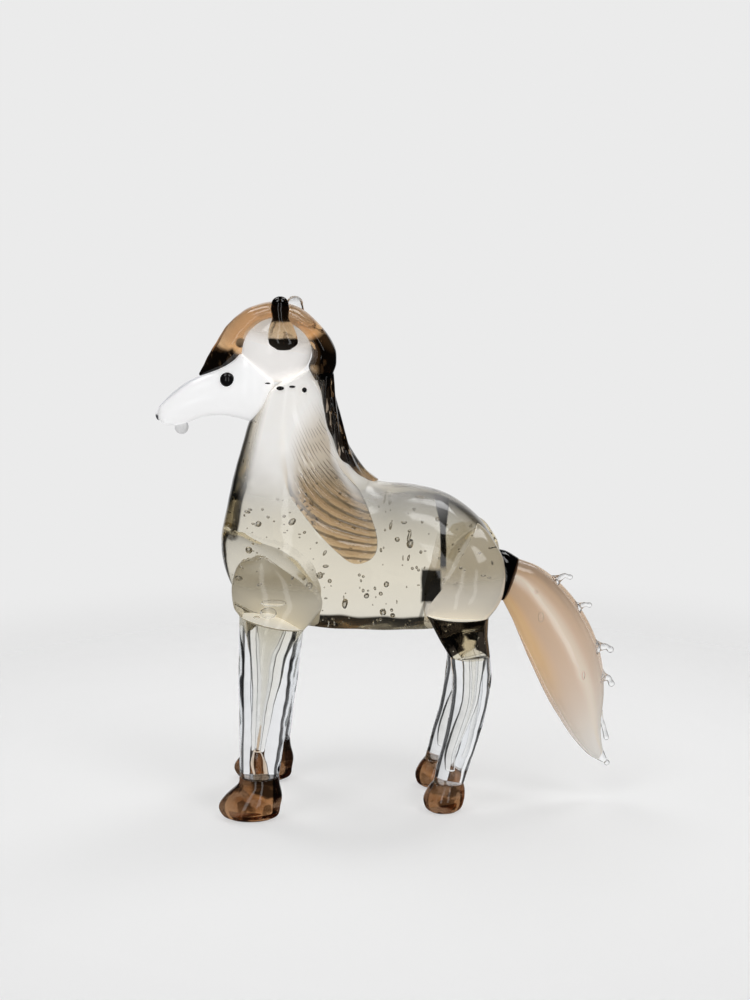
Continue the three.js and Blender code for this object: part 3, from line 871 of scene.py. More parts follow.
class GLASSHORSE_OT_head(GlassHorseOperator, bpy.types.Operator):
    """Set the milky skull, the opal face and the lip bead"""

    bl_idname = "glass_horse.head"
    bl_label = "Head"

    MUZZLE_RIBS = (
        (-66.0, 116.2, -65.4, 113.6, 1.6),
        (-64.8, 118.4, -63.2, 112.2, 3.6),
        (-61.0, 122.0, -58.5, 112.7, 4.8),
        (-56.0, 125.4, -53.5, 114.5, 5.4),
        (-50.0, 128.0, -48.0, 115.2, 6.2),
        (-44.5, 130.8, -43.0, 114.5, 7.2),
        (-40.0, 133.5, -38.5, 113.5, 7.8),
        (-36.0, 133.0, -35.5, 115.5, 7.0),
        (-33.0, 130.0, -33.0, 119.0, 4.0),
    )
    LIP = ((-59.2, 0.0, 111.6), (2.0, 2.0, 2.0))

    def make(self):
        skull = ball_rings(SKULL_CENTRE, SKULL_RADII, 60, 96)
        gather("skull", waved(skull, 0.05), self.milky_glass())
        muzzle = domed(rib_rings(self.MUZZLE_RIBS, 90, 72), 0.8, 0.5)
        muzzle = pressed(muzzle, SKULL_CENTRE, SKULL_RADII, sizes().fuse, 0.30)
        # The face and the lip carry a painted glow.
        opal = solid_glass("White opal glass", opal_colour, glow=0.38)
        lip = solid_glass("Lip opal glass", opal_colour, glow=0.10)
        gather("muzzle", waved(muzzle, 0.04), opal)
        gather("lower_lip", ball_rings(*self.LIP, 20, 32), lip)

    def milky_glass(self):
        """Clear at the crown and milkier towards the jaw, as a veil of opal with a painted glow in the clear
        glass.
        """

        def build(shader):
            x, _, z = shader.place()
            share = (1 - (z + x * 0.25).ramp(126.5, 132.5)) * 0.95 + shader.noise(5.0) * 0.08
            skin = shader.bump(shader.noise(7.0, detail=1.0), 0.02)
            clear = {"Roughness": 0.01, "IOR": 1.5, "Transmission Weight": 1.0, "Normal": skin}
            # The opal share carries a painted glow.
            opal = {
                "Base Color": (0.80, 0.78, 0.765, 1.0),
                "Roughness": 0.08,
                "Emission Color": (0.90, 0.87, 0.84, 1.0),
                "Emission Strength": 0.38,
                "Normal": skin,
            }
            surface = shader.mixed(share, shader.skin(clear), shader.skin(opal))
            shader.finish(surface, absorption(shader, (0.95, 0.94, 0.92)))

        return material_with("Milky clear glass", build)


class GLASSHORSE_OT_eyes(GlassHorseOperator, bpy.types.Operator):
    """Set a black bead in each side of the face"""

    bl_idname = "glass_horse.eyes"
    bl_label = "Eyes"

    EYE = (-45.4, 6.2, 126.0)
    RADII = (2.1, 1.5, 2.1)

    def make(self):
        black = solid_glass("Black glass", black_colour, roughness=0.03, ripple=0.0)
        for side, word in SIDES:
            x, y, z = self.EYE
            rings = ball_rings((x, side * y, z), self.RADII, 24, 32)
            gather(f"eye_{word}", rings, black)


class GLASSHORSE_OT_ears(GlassHorseOperator, bpy.types.Operator):
    """Pull up the two ears, the left one amber and the right one clear"""

    bl_idname = "glass_horse.ears"
    bl_label = "Ears"

    EAR_ROWS = (
        (-29.4, 8.2, 134.9, 2.3, 0.7, 0.0),
        (-29.4, 8.1, 136.2, 3.9, 1.3, 0.0),
        (-29.6, 7.6, 138.2, 4.1, 1.9, 0.0),
        (-29.9, 7.0, 141.0, 3.4, 2.3, 0.0),
        (-30.2, 6.5, 143.3, 2.4, 2.2, 0.0),
        (-30.3, 6.3, 145.6, 2.6, 2.3, 0.0),
        (-30.3, 6.2, 147.2, 2.4, 2.1, 0.0),
    )
    SETBACK = 3.6  # how far the right ear stands behind the left one
    DROP = 0.8  # and how far below it

    def make(self):
        amber = glass("Ear glass", colours().amber, tint=self.ear_colour, strength=1.4)
        for side, word in SIDES:
            rings = domed(level_rings(self.EAR_ROWS, side, 60, 48), 0.4, 2.3)
            if side == RIGHT:
                rings += (self.SETBACK, 0, -self.DROP)
            rings = pressed(waved(rings, 0.08, 5.0), SKULL_CENTRE, SKULL_RADII, sizes().fuse)
            material = amber if side == LEFT else clear_glass()
            gather(f"ear_{word}", rings, material, False)

    def ear_colour(self, shader):
        """Nearly black at the tip, which is painted shade for its dark refraction, and round the base, and amber
        between them.
        """
        _, _, z = shader.place()
        height = z + (shader.noise(2.0) - 0.5) * 1.2
        # Black above this span is painted shade: the dark refraction at the ear's tip.
        light = height.between(137.9, 142.4, 0.3)
        return shader.blend(light, (0.002, 0.0016, 0.0012), (0.95, 0.82, 0.64))


class GLASSHORSE_OT_forelock(GlassHorseOperator, bpy.types.Operator):
    """Lay the amber band from the brow over the poll"""

    bl_idname = "glass_horse.forelock"
    bl_label = "Forelock"

    RIBS = (
        (-53.9, 127.2, -53.2, 126.2, 0.8),
        (-50.7, 133.0, -46.0, 128.2, 3.0),
        (-46.2, 140.2, -40.6, 133.2, 4.4),
        (-40.6, 145.1, -37.2, 139.2, 5.0),
        (-33.5, 147.4, -33.0, 142.0, 5.4),
        (-26.0, 146.2, -28.2, 140.6, 5.6),
        (-19.8, 141.4, -23.4, 137.4, 5.4),
        (-15.6, 135.6, -21.6, 132.8, 4.8),
        (-14.7, 130.4, -22.6, 129.0, 4.2),
        (-15.8, 126.0, -21.4, 125.4, 3.4),
    )

    def make(self):
        rings = domed(rib_rings(self.RIBS, 140, 64), 0.3, 0.4)
        rings = pressed(waved(rings, 0.12, 9.0), SKULL_CENTRE, SKULL_RADII, sizes().fuse)
        amber = glass("Forelock glass", colours().amber, tint=self.burnt_ends, strength=1.5, veil=self.caramel)
        gather("forelock", rings, amber)

    def burnt_ends(self, shader):
        """Honey through most of the band, with streaky umber at the brow, down behind the ears, and in one
        bead at its inner edge."""
        x, _, z = shader.place()
        along, around = shader.form()
        wander = (shader.noise(3.0, detail=2.0) - 0.5) * 3.0
        brow = (1 - (z + wander).ramp(133.6, 135.0)) * (1 - x.ramp(-44.0, -42.0))
        nape = along.ramp(0.66, 0.70) * abs(around - 0.5).ramp(0.17, 0.23)
        bead = 1 - ((x + 41.6) * (x + 41.6) + (z - 136.2) * (z - 136.2)).root().ramp(1.2, 1.7)
        streak = shader.noise(1.8, detail=2.0, stretch=(1.0, 1.0, 2.5)).ramp(0.62, 0.68)
        dark = (brow + nape).math("MINIMUM", 1.0) * (1 - streak * 0.6)
        dark = dark.most(bead)
        glassy = shader.blend(along.ramp(0.66, 0.70), (1.0, 0.98, 0.95), (0.88, 0.94, 1.0))
        return shader.blend(dark, glassy, (0.002, 0.0015, 0.001))

    def caramel(self, shader):
        """A thin caramel haze through the honey part."""
        along, _ = shader.form()
        _, _, z = shader.place()
        haze = shader.noise(4.0, detail=2.0) * 0.3 + 0.2
        share = haze * z.ramp(134.5, 137.0) * (1 - along.ramp(0.62, 0.68))
        return share, shader.blend(shader.noise(6.0), (0.44, 0.29, 0.165), (0.56, 0.40, 0.25))


class GLASSHORSE_OT_mane(GlassHorseOperator, bpy.types.Operator):
    """Lay the mane: a dark crest down the neck and a combed lobe on its left"""

    bl_idname = "glass_horse.mane"
    bl_label = "Mane"

    CREST_RIBS = (
        (-15.6, 127.6, -20.2, 127.0, 3.2),
        (-15.0, 121.0, -19.8, 120.6, 4.0),
        (-13.6, 114.2, -18.0, 113.4, 4.8),
        (-11.8, 107.8, -16.6, 107.0, 5.4),
        (-9.4, 102.8, -14.0, 102.0, 5.6),
        (-6.6, 99.4, -10.5, 98.6, 5.0),
        (-2.8, 96.4, -5.5, 95.8, 1.8),
    )
    CREST_STRANDS = 5
    CREST_TWIST = 16.0
    LOBE_MIDDLE = (-16.2, 93.0)
    LOBE_THICKNESS = 2.3

    def make(self):
        self.crest()
        self.lobe()

    def crest(self):
        rings = rib_rings(self.CREST_RIBS, 150, 90)
        middle = rings.mean(axis=1, keepdims=True)
        turn = turns(90)[None, :, None]
        along = np.linspace(0, 1, 150)[:, None, None]
        twist = np.cos(self.CREST_STRANDS * turn + self.CREST_TWIST * along)
        groove = 1 + 0.16 * twist * np.sin(np.pi * along) ** 0.5
        rings = domed(middle + (rings - middle) * groove, 0.4, 0.4)
        mane = glass("Crest glass", colours().mane, tint=self.crest_colour, ripple=0.12, ripple_size=2.0)
        gather("mane_crest", rings, mane)

    def crest_colour(self, shader):
        """Black, with a few drawn-out clear streaks, and amber at its foot."""
        _, _, z = shader.place()
        streak = shader.noise(1.5, detail=2.0, stretch=(1.0, 1.0, 4.0)).ramp(0.59, 0.63)
        clear = shader.blend(z.ramp(100.0, 106.0), (0.95, 0.72, 0.45), (1.0, 0.98, 0.95))
        foot = 1 - (z + (shader.noise(2.5) - 0.5) * 5.0).ramp(98.0, 101.0)
        return shader.blend(streak.most(foot * 0.8), (0.002, 0.0015, 0.0012), clear)

    def lobe(self):
        """A patch laid on the neck: rings from the middle out to the outline on its outer face, and back in
        again on its inner face. Its thickness falls to nothing at the rim as the fourth root of 1 - r to the
        sixth, and the comb adds a sine across the strands, whose slope turns from steep at the top to level
        at the bottom."""
        around, out = 260, 120
        loop = lobe_loop(around)
        r = np.linspace(0.0, 1.0, out + 1)[1:, None, None]
        place = np.asarray(self.LOBE_MIDDLE) + r * (loop - np.asarray(self.LOBE_MIDDLE))
        x, z = place[..., 0], place[..., 1]
        y = np.maximum(body_side(x, z), 3.6)
        radius = r[..., 0] + 0 * x
        full = np.clip((106 - z) / 12, 0, 1)
        body = np.clip(1 - radius**6, 0, 1) ** 0.5 * full + np.clip(1 - radius**2, 0, 1) ** 1.5 * (1 - full)
        comb = np.sin(TAU * self.strand(x, z) / sizes().rib_pitch)
        height = 0.5 + (self.LOBE_THICKNESS - 0.5) * full
        thick = body * (height + sizes().rib_height * comb * (0.3 + 0.7 * full))
        outer = np.stack([x, -(y + thick), z], axis=-1)
        inner = np.stack([x, -(y - sizes().fuse), z], axis=-1)[:-1][::-1]
        rings = np.concatenate([outer, inner])
        buried = np.ones(rings.shape[:2])
        buried[:out] = -lobe_cover(x, z)
        mane = glass("Mane glass", colours().mane, tint=self.lobe_colour, strength=1.5, veil=self.hair_veil)
        gather("mane_lobe", rings, mane, False, buried)

    def strand(self, x, z):
        """Distance across the strands: z plus x times a slope that grows from the lobe's foot to its top."""
        rise = (z - 80) / 30
        return z + (x + 10) * (0.12 + 1.05 * rise * (rise > 0))

    def hairs(self, shader):
        """The strands' place across the lobe, its slow drift, and the broken hair lines drawn along them."""
        x, _, z = shader.place()
        rise = ((z - 80) / 30).most(0.0)
        across = z + (x + 10) * (rise * 1.05 + 0.12)
        drift = (shader.noise(3.5, detail=2.0) - 0.5) * 2.0
        hair = (across * (TAU / HAIR_PITCH) + drift * 2.5).math("SINE").ramp(0.72, 0.98)
        return across, drift, hair * shader.noise(4.5, detail=1.0).ramp(0.42, 0.56)

    def lobe_colour(self, shader):
        """Pale at the top and brown below, with a dark line of painted shade in every valley of the comb, a
        black bar down the front rim and a crinkled patch under it."""
        x, _, z = shader.place()
        along, _ = shader.form()
        across, drift, hair = self.hairs(shader)
        # Painted shade: the dark in the comb's valleys that their relief would give.
        valley = ((across * (TAU / sizes().rib_pitch) + drift).math("SINE") * -1).ramp(0.0, 1.0)
        upper = z.ramp(92.0, 100.0)
        lines = valley * (1 - upper) * 0.85 + hair * upper * (1 - along.ramp(0.36, 0.46))
        crinkle = shader.noise(1.1, detail=3.0).ramp(0.54, 0.60) * (1 - (x + z * 0.35).ramp(9.0, 12.0))
        crinkle = crinkle * z.between(84.0, 97.0, 1.5)
        rim = abs(along - 0.5)
        bar = (1 - rim.ramp(0.06, 0.08)) * z.between(95.5, 108.5, 0.8) * (1 - x.ramp(-22.0, -20.0))
        dark = (lines + crinkle + bar).math("MINIMUM", 1.0)
        glassy = shader.blend(z.ramp(96.0, 106.0), (0.84, 0.67, 0.49), (0.99, 0.975, 0.95))
        return shader.blend(dark, glassy, (0.008, 0.005, 0.003))

    def hair_veil(self, shader):
        """Beige opal in the lobe's upper part, with the hair lines drawn through it."""
        _, _, z = shader.place()
        along, _ = shader.form()
        _, _, hair = self.hairs(shader)
        edge = along.ramp(0.22, 0.42)
        haze, white = milk(shader)
        share = z.ramp(97.0, 106.0) * 0.78 * (1 - edge) + haze * edge
        hue = shader.blend(edge, (0.56, 0.49, 0.40), white)
        return share, shader.blend(hair * 0.9 * (1 - edge), hue, (0.10, 0.06, 0.045))


class GLASSHORSE_OT_shoulders(GlassHorseOperator, bpy.types.Operator):
    """Lay the smoky humps above the front legs"""

    bl_idname = "glass_horse.shoulders"
    bl_label = "Shoulders"

    def make(self):
        for side, word in SIDES:
            rings = domed(level_rings(SHOULDER_ROWS, side, 120, 128), 0.8, 0.3, 1.0, 0.3)
            rings = laid_on_body(waved(rings, sizes().wobble), sizes().fuse)
            # Low on the buried side, the seam gets the pale film with its painted glow.
            buried = filmed(depth_in_body(rings), rings[..., 2], 72, 62)
            gather(f"shoulder_{word}", rings, smoky_glass(), False, buried)


class GLASSHORSE_OT_haunches(GlassHorseOperator, bpy.types.Operator):
    """Lay the smoky humps over the hind legs, and the dark gaskins under them"""

    bl_idname = "glass_horse.haunches"
    bl_label = "Haunches"

    def make(self):
        dark = glass("Gaskin glass", colours().smoke, tint=self.gaskin_colour, strength=2.5, film=pale_film)
        for side, word in SIDES:
            rings = domed(level_rings(HAUNCH_ROWS, side, 120, 128), 0.8, 0.3, 1.0, 0.3)
            rings = laid_on_body(waved(rings, sizes().wobble), sizes().fuse)
            # Low on the buried side, the seam gets the pale film with its painted glow.
            buried = filmed(depth_in_body(rings), rings[..., 2], 74, 64)
            gather(f"haunch_{word}", rings, smoky_glass(), False, buried)
            step = HIND_STEP if side == RIGHT else 0
            rings = domed(level_rings(GASKIN_ROWS, side, 60, 96, step), 0.3, 0.5, 0.3, 0.6)
            rings = laid_on_body(waved(rings, sizes().wobble), sizes().fuse)
            # The gaskin's top cap gets the pale film with its painted glow.
            buried = depth_in_body(rings, LIT_FILM_MARK, 1.0)
            gather(f"gaskin_{word}", rings, dark, False, buried)

    def gaskin_colour(self, shader):
        """Nearly black, painted shade for the dark that total inner reflection gives the gaskin, leaving a pale
        window down the middle of the wrap, light streaks that stand in for its glints, and a light arch over the
        hock.
        """
        x, _, z = shader.place()
        wander = (shader.noise(3.0, detail=2.0) - 0.5) * 2.5
        window = (x + wander).between(21.4, 24.8, 0.5) * (1 - z.ramp(56.0, 57.0))
        streak = shader.noise(1.6, detail=2.0).ramp(0.66, 0.70)
        across = (x - 23.4) / 5.6
        arch = 1 - (z + across * across * 3.8).ramp(HOCK_SEAM_Z + 3.5, HOCK_SEAM_Z + 3.9)
        # All outside these light parts is painted shade.
        light = window.most(streak * 0.7).most(arch)
        return shader.blend(light, (0.002, 0.0015, 0.0012), (0.88, 0.84, 0.76))


class GLASSHORSE_OT_front_legs(GlassHorseOperator, bpy.types.Operator):
    """Case the smoky threads of the front legs in clear glass, over amber spurs"""

    bl_idname = "glass_horse.front_legs"
    bl_label = "Front legs"

    CORE_ROWS = (
        (-32.6, 15.2, SHOULDER_SEAM_Z, 7.0, 5.8, -0.22),
        (-33.9, 15.7, 50.0, 4.4, 3.8, -0.1),
        (-34.8, 16.2, 40.0, 3.0, 2.7, 0.0),
        (-36.2, 16.6, 29.0, 2.0, 1.9, 0.0),
        (-37.0, 16.9, 21.0, 1.4, 1.3, 0.0),
    )
    SPUR_ROWS = (
        (-37.2, 17.0, 20.6, 0.9, 0.9, 0.0),
        (-37.0, 17.1, 17.0, 1.7, 1.5, 0.0),
        (-36.6, FRONT_FOOT_Y, 13.4, 1.6, 1.5, 0.0),
        (-36.4, FRONT_FOOT_Y, 12.2, 2.4, 2.2, 0.0),
    )

    def make(self):
        core = glass("Smoky thread glass", colours().smoke, ior=1.10, strength=3.0)
        amber = glass("Spur glass", colours().hoof, ior=1.1, strength=1.5)
        for side, word in SIDES:
            step = FRONT_STEP if side == RIGHT else 0
            rings = domed(level_rings(FRONT_CASING_ROWS, side, 140, 96, step), 0.3, 0.6, 0.3, 0.6)
            rings = laid_on_body(waved(rings, sizes().wobble, 11.0), sizes().fuse)
            # The casing's top cap gets the pale film with its painted glow.
            buried = depth_in_body(rings, first_cap=LIT_FILM_MARK)
            gather(f"front_leg_casing_{word}", rings, clear_glass(), False, buried)
            rings = domed(level_rings(self.CORE_ROWS, side, 90, 48, step), 0.2, 0.8, 0.3)
            rings = waved(rings, 0.06, 9.0)
            gather(f"front_leg_core_{word}", rings, core, False)
            rings = domed(level_rings(self.SPUR_ROWS, side, 40, 32, step), 0.6, 0.2)
            gather(f"front_spur_{word}", rings, amber, False)


class GLASSHORSE_OT_hind_legs(GlassHorseOperator, bpy.types.Operator):
    """Case the smoky threads of the hind legs in clear glass"""

    bl_idname = "glass_horse.hind_legs"
    bl_label = "Hind legs"

    CASING_ROWS = (
        (23.6, 12.3, HOCK_SEAM_Z + 0.2, 5.7, 5.6, 0.0),
        (24.1, 12.2, 40.0, 5.7, 5.4, 0.0),
        (23.3, 12.0, 32.0, 5.3, 5.1, 0.0),
        (22.0, 11.7, 25.0, 5.1, 4.9, 0.0),
        (19.6, 11.3, 16.0, 4.8, 4.6, 0.0),
        (17.6, HIND_FOOT_Y, 8.4, 4.5, 4.4, 0.0),
    )
    CORE_ROWS = (
        (24.6, 12.3, HOCK_SEAM_Z, 2.6, 2.4, 0.0),
        (24.2, 12.2, 40.0, 1.8, 1.7, 0.0),
        (23.6, 12.0, 33.5, 1.6, 1.5, 0.0),
        (21.4, 11.7, 26.0, 1.4, 1.3, 0.0),
        (19.0, 11.3, 18.5, 1.2, 1.1, 0.0),
        (18.4, 11.2, 13.0, 0.9, 0.9, 0.0),
    )

    def make(self):
        core = glass("Thread glass", colours().smoke, ior=1.17, strength=3.0)
        for side, word in SIDES:
            step = HIND_STEP if side == RIGHT else 0
            rings = domed(level_rings(self.CASING_ROWS, side, 140, 96, step), 0.5, 0.6, 0.6, 0.6)
            rings = waved(rings, sizes().wobble, 11.0)
            buried = depth_in_body(rings, first_cap=1.0)
            gather(f"hind_leg_casing_{word}", rings, clear_glass(), False, buried)
            rings = domed(level_rings(self.CORE_ROWS, side, 90, 40, step), 0.2, 0.6)
            gather(f"hind_leg_core_{word}", waved(rings, 0.05, 8.0), core, False)


class GLASSHORSE_OT_hooves(GlassHorseOperator, bpy.types.Operator):
    """Press the four amber hooves"""

    bl_idname = "glass_horse.hooves"
    bl_label = "Hooves"

    FRONT_ROWS = (
        (-37.0, FRONT_FOOT_Y, 12.6, 5.7, 5.2, 0.0),
        (-37.2, FRONT_FOOT_Y, 10.2, 6.1, 5.4, 0.0),
        (-38.7, FRONT_FOOT_Y, 6.8, 8.2, 5.9, 0.0),
        (-39.9, FRONT_FOOT_Y, 3.8, 8.9, 6.1, 0.0),
        (-39.7, FRONT_FOOT_Y, 1.2, 8.1, 5.4, 0.0),
        (-39.6, FRONT_FOOT_Y, 0.1, 6.2, 4.0, 0.0),
    )
    HIND_ROWS = (
        (17.5, HIND_FOOT_Y, 8.5, 4.6, 4.5, 0.0),
        (17.0, HIND_FOOT_Y, 6.6, 5.5, 5.1, 0.0),
        (16.4, HIND_FOOT_Y, 3.8, 6.0, 5.5, 0.0),
        (16.3, HIND_FOOT_Y, 1.2, 5.3, 4.9, 0.0),
        (16.3, HIND_FOOT_Y, 0.1, 4.0, 3.7, 0.0),
    )

    def make(self):
        amber = glass(
            "Hoof glass",
            colours().hoof,
            tint=self.hoof_colour,
            ripple=0.06,
            ripple_size=4.0,
            veil=self.swirl,
        )
        for side, word in SIDES:
            for part, rows, step in (
                ("front", self.FRONT_ROWS, FRONT_STEP),
                ("hind", self.HIND_ROWS, HIND_STEP),
            ):
                rings = level_rings(rows, side, 80, 96, step if side == RIGHT else 0)
                rings = domed(rings, 0.3, 0.1, 0.4, 0.3)
                rings[..., 2] = np.maximum(rings[..., 2], 0.0)
                gather(f"{part}_hoof_{word}", rings, amber)

    def hoof_colour(self, shader):
        """Amber clouded with umber, black round the back of a front ankle and in one spot on a hind hoof."""
        return shader.blend(self.umber_share(shader), (1.0, 0.95, 0.90), (0.004, 0.0025, 0.002))

    def umber_share(self, shader):
        x, _, z = shader.place()
        wander = (shader.noise(3.0, detail=2.0) - 0.5) * 3.0
        cloud = shader.noise(4.0, detail=3.0).ramp(0.52, 0.60) * 0.85
        ankle = (z + wander * 0.4 + (x + 38) * 0.35).between(9.0, 16.0, 0.5) * x.between(-39.0, -20.0, 1.0)
        dx, dz = x - 16.6, (z - 3.9) * 1.7
        spot = 1 - (dx * dx + dz * dz).root().ramp(1.8, 2.6)
        return cloud.most(ankle * 0.95).most(spot * 0.9)

    def swirl(self, shader):
        """Caramel opal stirred through the amber."""
        share = shader.noise(3.2, detail=2.0, stretch=(2.0, 2.0, 1.0)).ramp(0.40, 0.62) * 0.5
        share = share * (1 - self.umber_share(shader))
        return share, shader.blend(shader.noise(2.5), (0.20, 0.105, 0.055), (0.38, 0.24, 0.15))


class GLASSHORSE_OT_tail(GlassHorseOperator, bpy.types.Operator):
    """Draw out the tail: umber root, opaline core, clear casing, barbs and tip"""

    bl_idname = "glass_horse.tail"
    bl_label = "Tail"

    ROOT_RIBS = (
        (30.5, 75.8, 30.5, 63.0, 4.5),
        (34.2, 75.2, 33.0, 60.8, 5.4),
        (38.0, 73.0, 33.8, 60.6, 5.0),
    )
    RIBS = (
        (37.8, 72.9, 33.6, 60.6, 4.9),
        (44.2, 70.4, 36.4, 55.0, 5.2),
        (50.6, 65.4, 39.6, 47.4, 5.2),
        (56.4, 58.2, 43.0, 39.6, 5.0),
        (60.9, 49.6, 46.8, 31.6, 4.8),
        (63.3, 40.6, 50.9, 24.6, 4.3),
        (63.8, 32.0, 54.8, 18.7, 3.6),
        (63.2, 24.0, 59.0, 14.0, 2.7),
        (63.6, 16.6, 62.4, 11.8, 1.7),
        (65.0, 12.4, 64.4, 10.8, 0.9),
    )
    CORE_INSET = 0.085
    CORE_WIDTH = 0.72
    BARBS = (
        ((48.6, 0.0, 66.2), (51.6, 0.0, 67.9), (53.2, 0.0, 67.4), 1.9, 0.75),
        ((55.2, 0.0, 58.2), (57.6, 0.0, 59.2), (59.0, 0.0, 59.0), 1.9, 0.75),
        ((61.0, 0.0, 46.4), (64.2, 0.0, 46.4), (65.4, 0.0, 45.6), 2.4, 1.0),
        ((62.8, 0.0, 37.4), (65.2, 0.0, 36.8), (66.0, 0.0, 35.2), 2.4, 0.95),
        ((62.6, 0.0, 26.6), (63.9, 0.0, 22.4), (64.9, 0.0, 18.6), 1.1, 0.8),
    )
    TIP = ((65.2, 0.0, 10.8), (0.85, 0.85, 0.85))

    def make(self):
        umber = glass("Umber glass", colours().umber, strength=3.0)
        rings = domed(waved(rib_rings(self.ROOT_RIBS, 40, 64), 0.1), 0.6, 0.5, 1.0, 0.5)
        gather("tail_root", rings, umber, False)
        # The tail's core carries a painted glow.
        opaline = solid_glass("Opaline glass", opaline_colour, glow=0.44)
        core = domed(rib_rings(self.core_ribs(), 140, 64), 0.4, 0.8)
        gather("tail_core", core, opaline, False)
        casing = domed(rib_rings(self.RIBS, 180, 80), 0.3, 0.5, 0.5)
        gather("tail_casing", waved(casing, 0.08), clear_glass())
        for number, (root, bend, tip, thick, bead) in enumerate(self.BARBS, 1):
            self.barb(number, root, bend, tip, thick, bead)
        tip = ball_rings(*self.TIP, 16, 24)
        gather("tail_tip", tip, clear_glass())

    def core_ribs(self):
        """The casing's ribs, all but the last, with each end drawn in by the inset's share of the rib."""
        v = np.asarray(self.RIBS)[:-1]
        top, under = v[:, 0:2], v[:, 2:4]
        reach = (under - top) * self.CORE_INSET
        return np.column_stack([top + reach, under - reach, v[:, 4] * self.CORE_WIDTH])

    def barb(self, number, root, bend, tip, thick, bead):
        """A thread that narrows from its root and swells to a bead at its tip."""
        root, bend, tip = (np.asarray(point) for point in (root, bend, tip))
        neck = bend + (tip - bend) * 0.4
        points = np.array([root, (root + bend) / 2, bend, neck, tip])
        radii = np.array([thick, thick * 0.55, bead * 0.85, bead * 0.8, bead])
        rings = domed(thread_rings(points, radii, 30, 24), 0.2, bead)
        gather(f"tail_barb_{number}", rings, clear_glass())


class GLASSHORSE_OT_seeds(GlassHorseOperator, bpy.types.Operator):
    """Trap the air: small seeds scattered through the body, larger ones, and bubbles in shoulder and tail"""

    bl_idname = "glass_horse.seeds"
    bl_label = "Air seeds"

    LEAST_WIDTH = 6.0  # small seeds keep to where the body is at least this half width,
    LOWEST = 57.5  # and above its dark underside
    # Larger bubbles of the body: x, share of the half width towards the left side, z, radius.
    LARGE = (
        (-37.6, 0.50, 99.0, 0.85),
        (-35.2, 0.35, 84.6, 0.75),
        (-38.4, 0.60, 78.0, 1.00),
        (-19.2, 0.55, 71.4, 0.95),
        (-22.2, 0.50, 68.6, 1.00),
        (-16.4, 0.70, 70.2, 0.60),
        (2.6, 0.60, 80.6, 0.75),
        (-0.4, 0.50, 68.8, 0.75),
        (-2.0, 0.65, 66.6, 0.60),
        (-1.4, 0.40, 61.4, 1.00),
        (1.4, 0.55, 60.4, 0.75),
        (9.0, 0.55, 91.0, 1.10),
        (13.6, 0.40, 84.4, 0.70),
        (-33.6, 0.20, 75.2, 0.60),
        (-27.0, -0.50, 82.0, 0.80),
        (-12.0, -0.55, 64.0, 0.80),
        (6.0, -0.50, 74.0, 0.90),
    )
    # Umber specks in the seam under the skull: middle, half sizes.
    SPECKS = (
        ((-30.4, -8.0, 123.8), (1.1, 0.4, 0.6)),
        ((-23.6, -7.2, 123.2), (0.7, 0.4, 0.75)),
        ((-27.0, -7.8, 124.2), (0.9, 0.35, 0.35)),
        ((-33.9, -8.0, 125.2), (0.8, 0.3, 0.25)),
    )
    # Drawn-out bubbles: middle, half sizes.
    SHOULDER_BUBBLES = (
        ((-32.2, -18.6, 64.2), (3.4, 0.7, 1.0)),
        ((-33.6, -18.8, 61.4), (2.2, 0.8, 1.6)),
        ((-36.6, -18.0, 59.9), (0.9, 0.5, 0.5)),
    )
    TAIL_BUBBLES = (
        ((44.4, -5.0, 56.6), (0.8, 0.25, 1.5)),
        ((57.2, -4.6, 39.0), (0.45, 0.2, 1.3)),
        ((43.0, -4.6, 64.0), (0.5, 0.2, 0.4)),
    )

    def make(self):
        places, radii = self.scattered()
        large = np.asarray(self.LARGE)
        x, share, z, _ = large.T
        middles = np.column_stack([x, -share * body_side(x, z), z])
        # The seeds' air is tinted grey: painted shade that darkens them.
        dim = air("Shaded air", (0.72, 0.71, 0.69))
        self.trapped("large_bubbles", middles, large[:, [3, 3, 3]], 16, 12, dim)
        self.trapped("small_seeds", places, radii, 8, 6, dim)
        black = bpy.data.materials["Black glass"]
        drawn = self.SHOULDER_BUBBLES + self.TAIL_BUBBLES
        for name, lumps, material in (("drawn_bubbles", drawn, air()), ("seam_specks", self.SPECKS, black)):
            middles, radii = (np.array([lump[k] for lump in lumps]) for k in range(2))
            self.trapped(name, middles, radii, 24, 16, material)

    def scattered(self):
        """Seeds thrown evenly over a box round the barrel and neck, and kept where they are inside the glass.
        Their sizes fall off from the smallest, and some are drawn out sideways."""
        rng = np.random.default_rng(11)
        count = sizes().seeds * 4
        x = rng.uniform(-46, 30, count)
        z = rng.uniform(54, 118, count)
        share = rng.uniform(-0.92, 0.92, count)
        side = body_side(x, z)
        inside = np.flatnonzero((side > self.LEAST_WIDTH) & (z > self.LOWEST))[: sizes().seeds]
        radius = 0.2 + 0.3 * rng.random(len(inside)) ** 3
        radii = radius[:, None] * np.ones(3)
        radii[:, 0] *= np.where(rng.random(len(inside)) < 0.2, 1.8, 1.0)
        radii[:, 2] *= np.where(rng.random(len(inside)) < 0.15, 2.2, 1.0)
        return np.column_stack([x[inside], share[inside] * side[inside], z[inside]]), radii

    def trapped(self, name, places, radii, around, along, material):
        """One mesh of many ellipsoids: the same unit ball, scaled and placed for each."""
        points, quads, fans, _, _ = surface_arrays(ball_rings((0, 0, 0), (1, 1, 1), along, around))
        spread = places[:, None] + points * radii[:, None]
        offset = (np.arange(len(places)) * len(points))[:, None, None]
        quads = (quads + offset).reshape(-1, 4)
        fans = (fans + offset).reshape(-1, 3)
        piece = mesh_piece(name, spread.reshape(-1, 3), quads, fans)
        settle(piece, material)


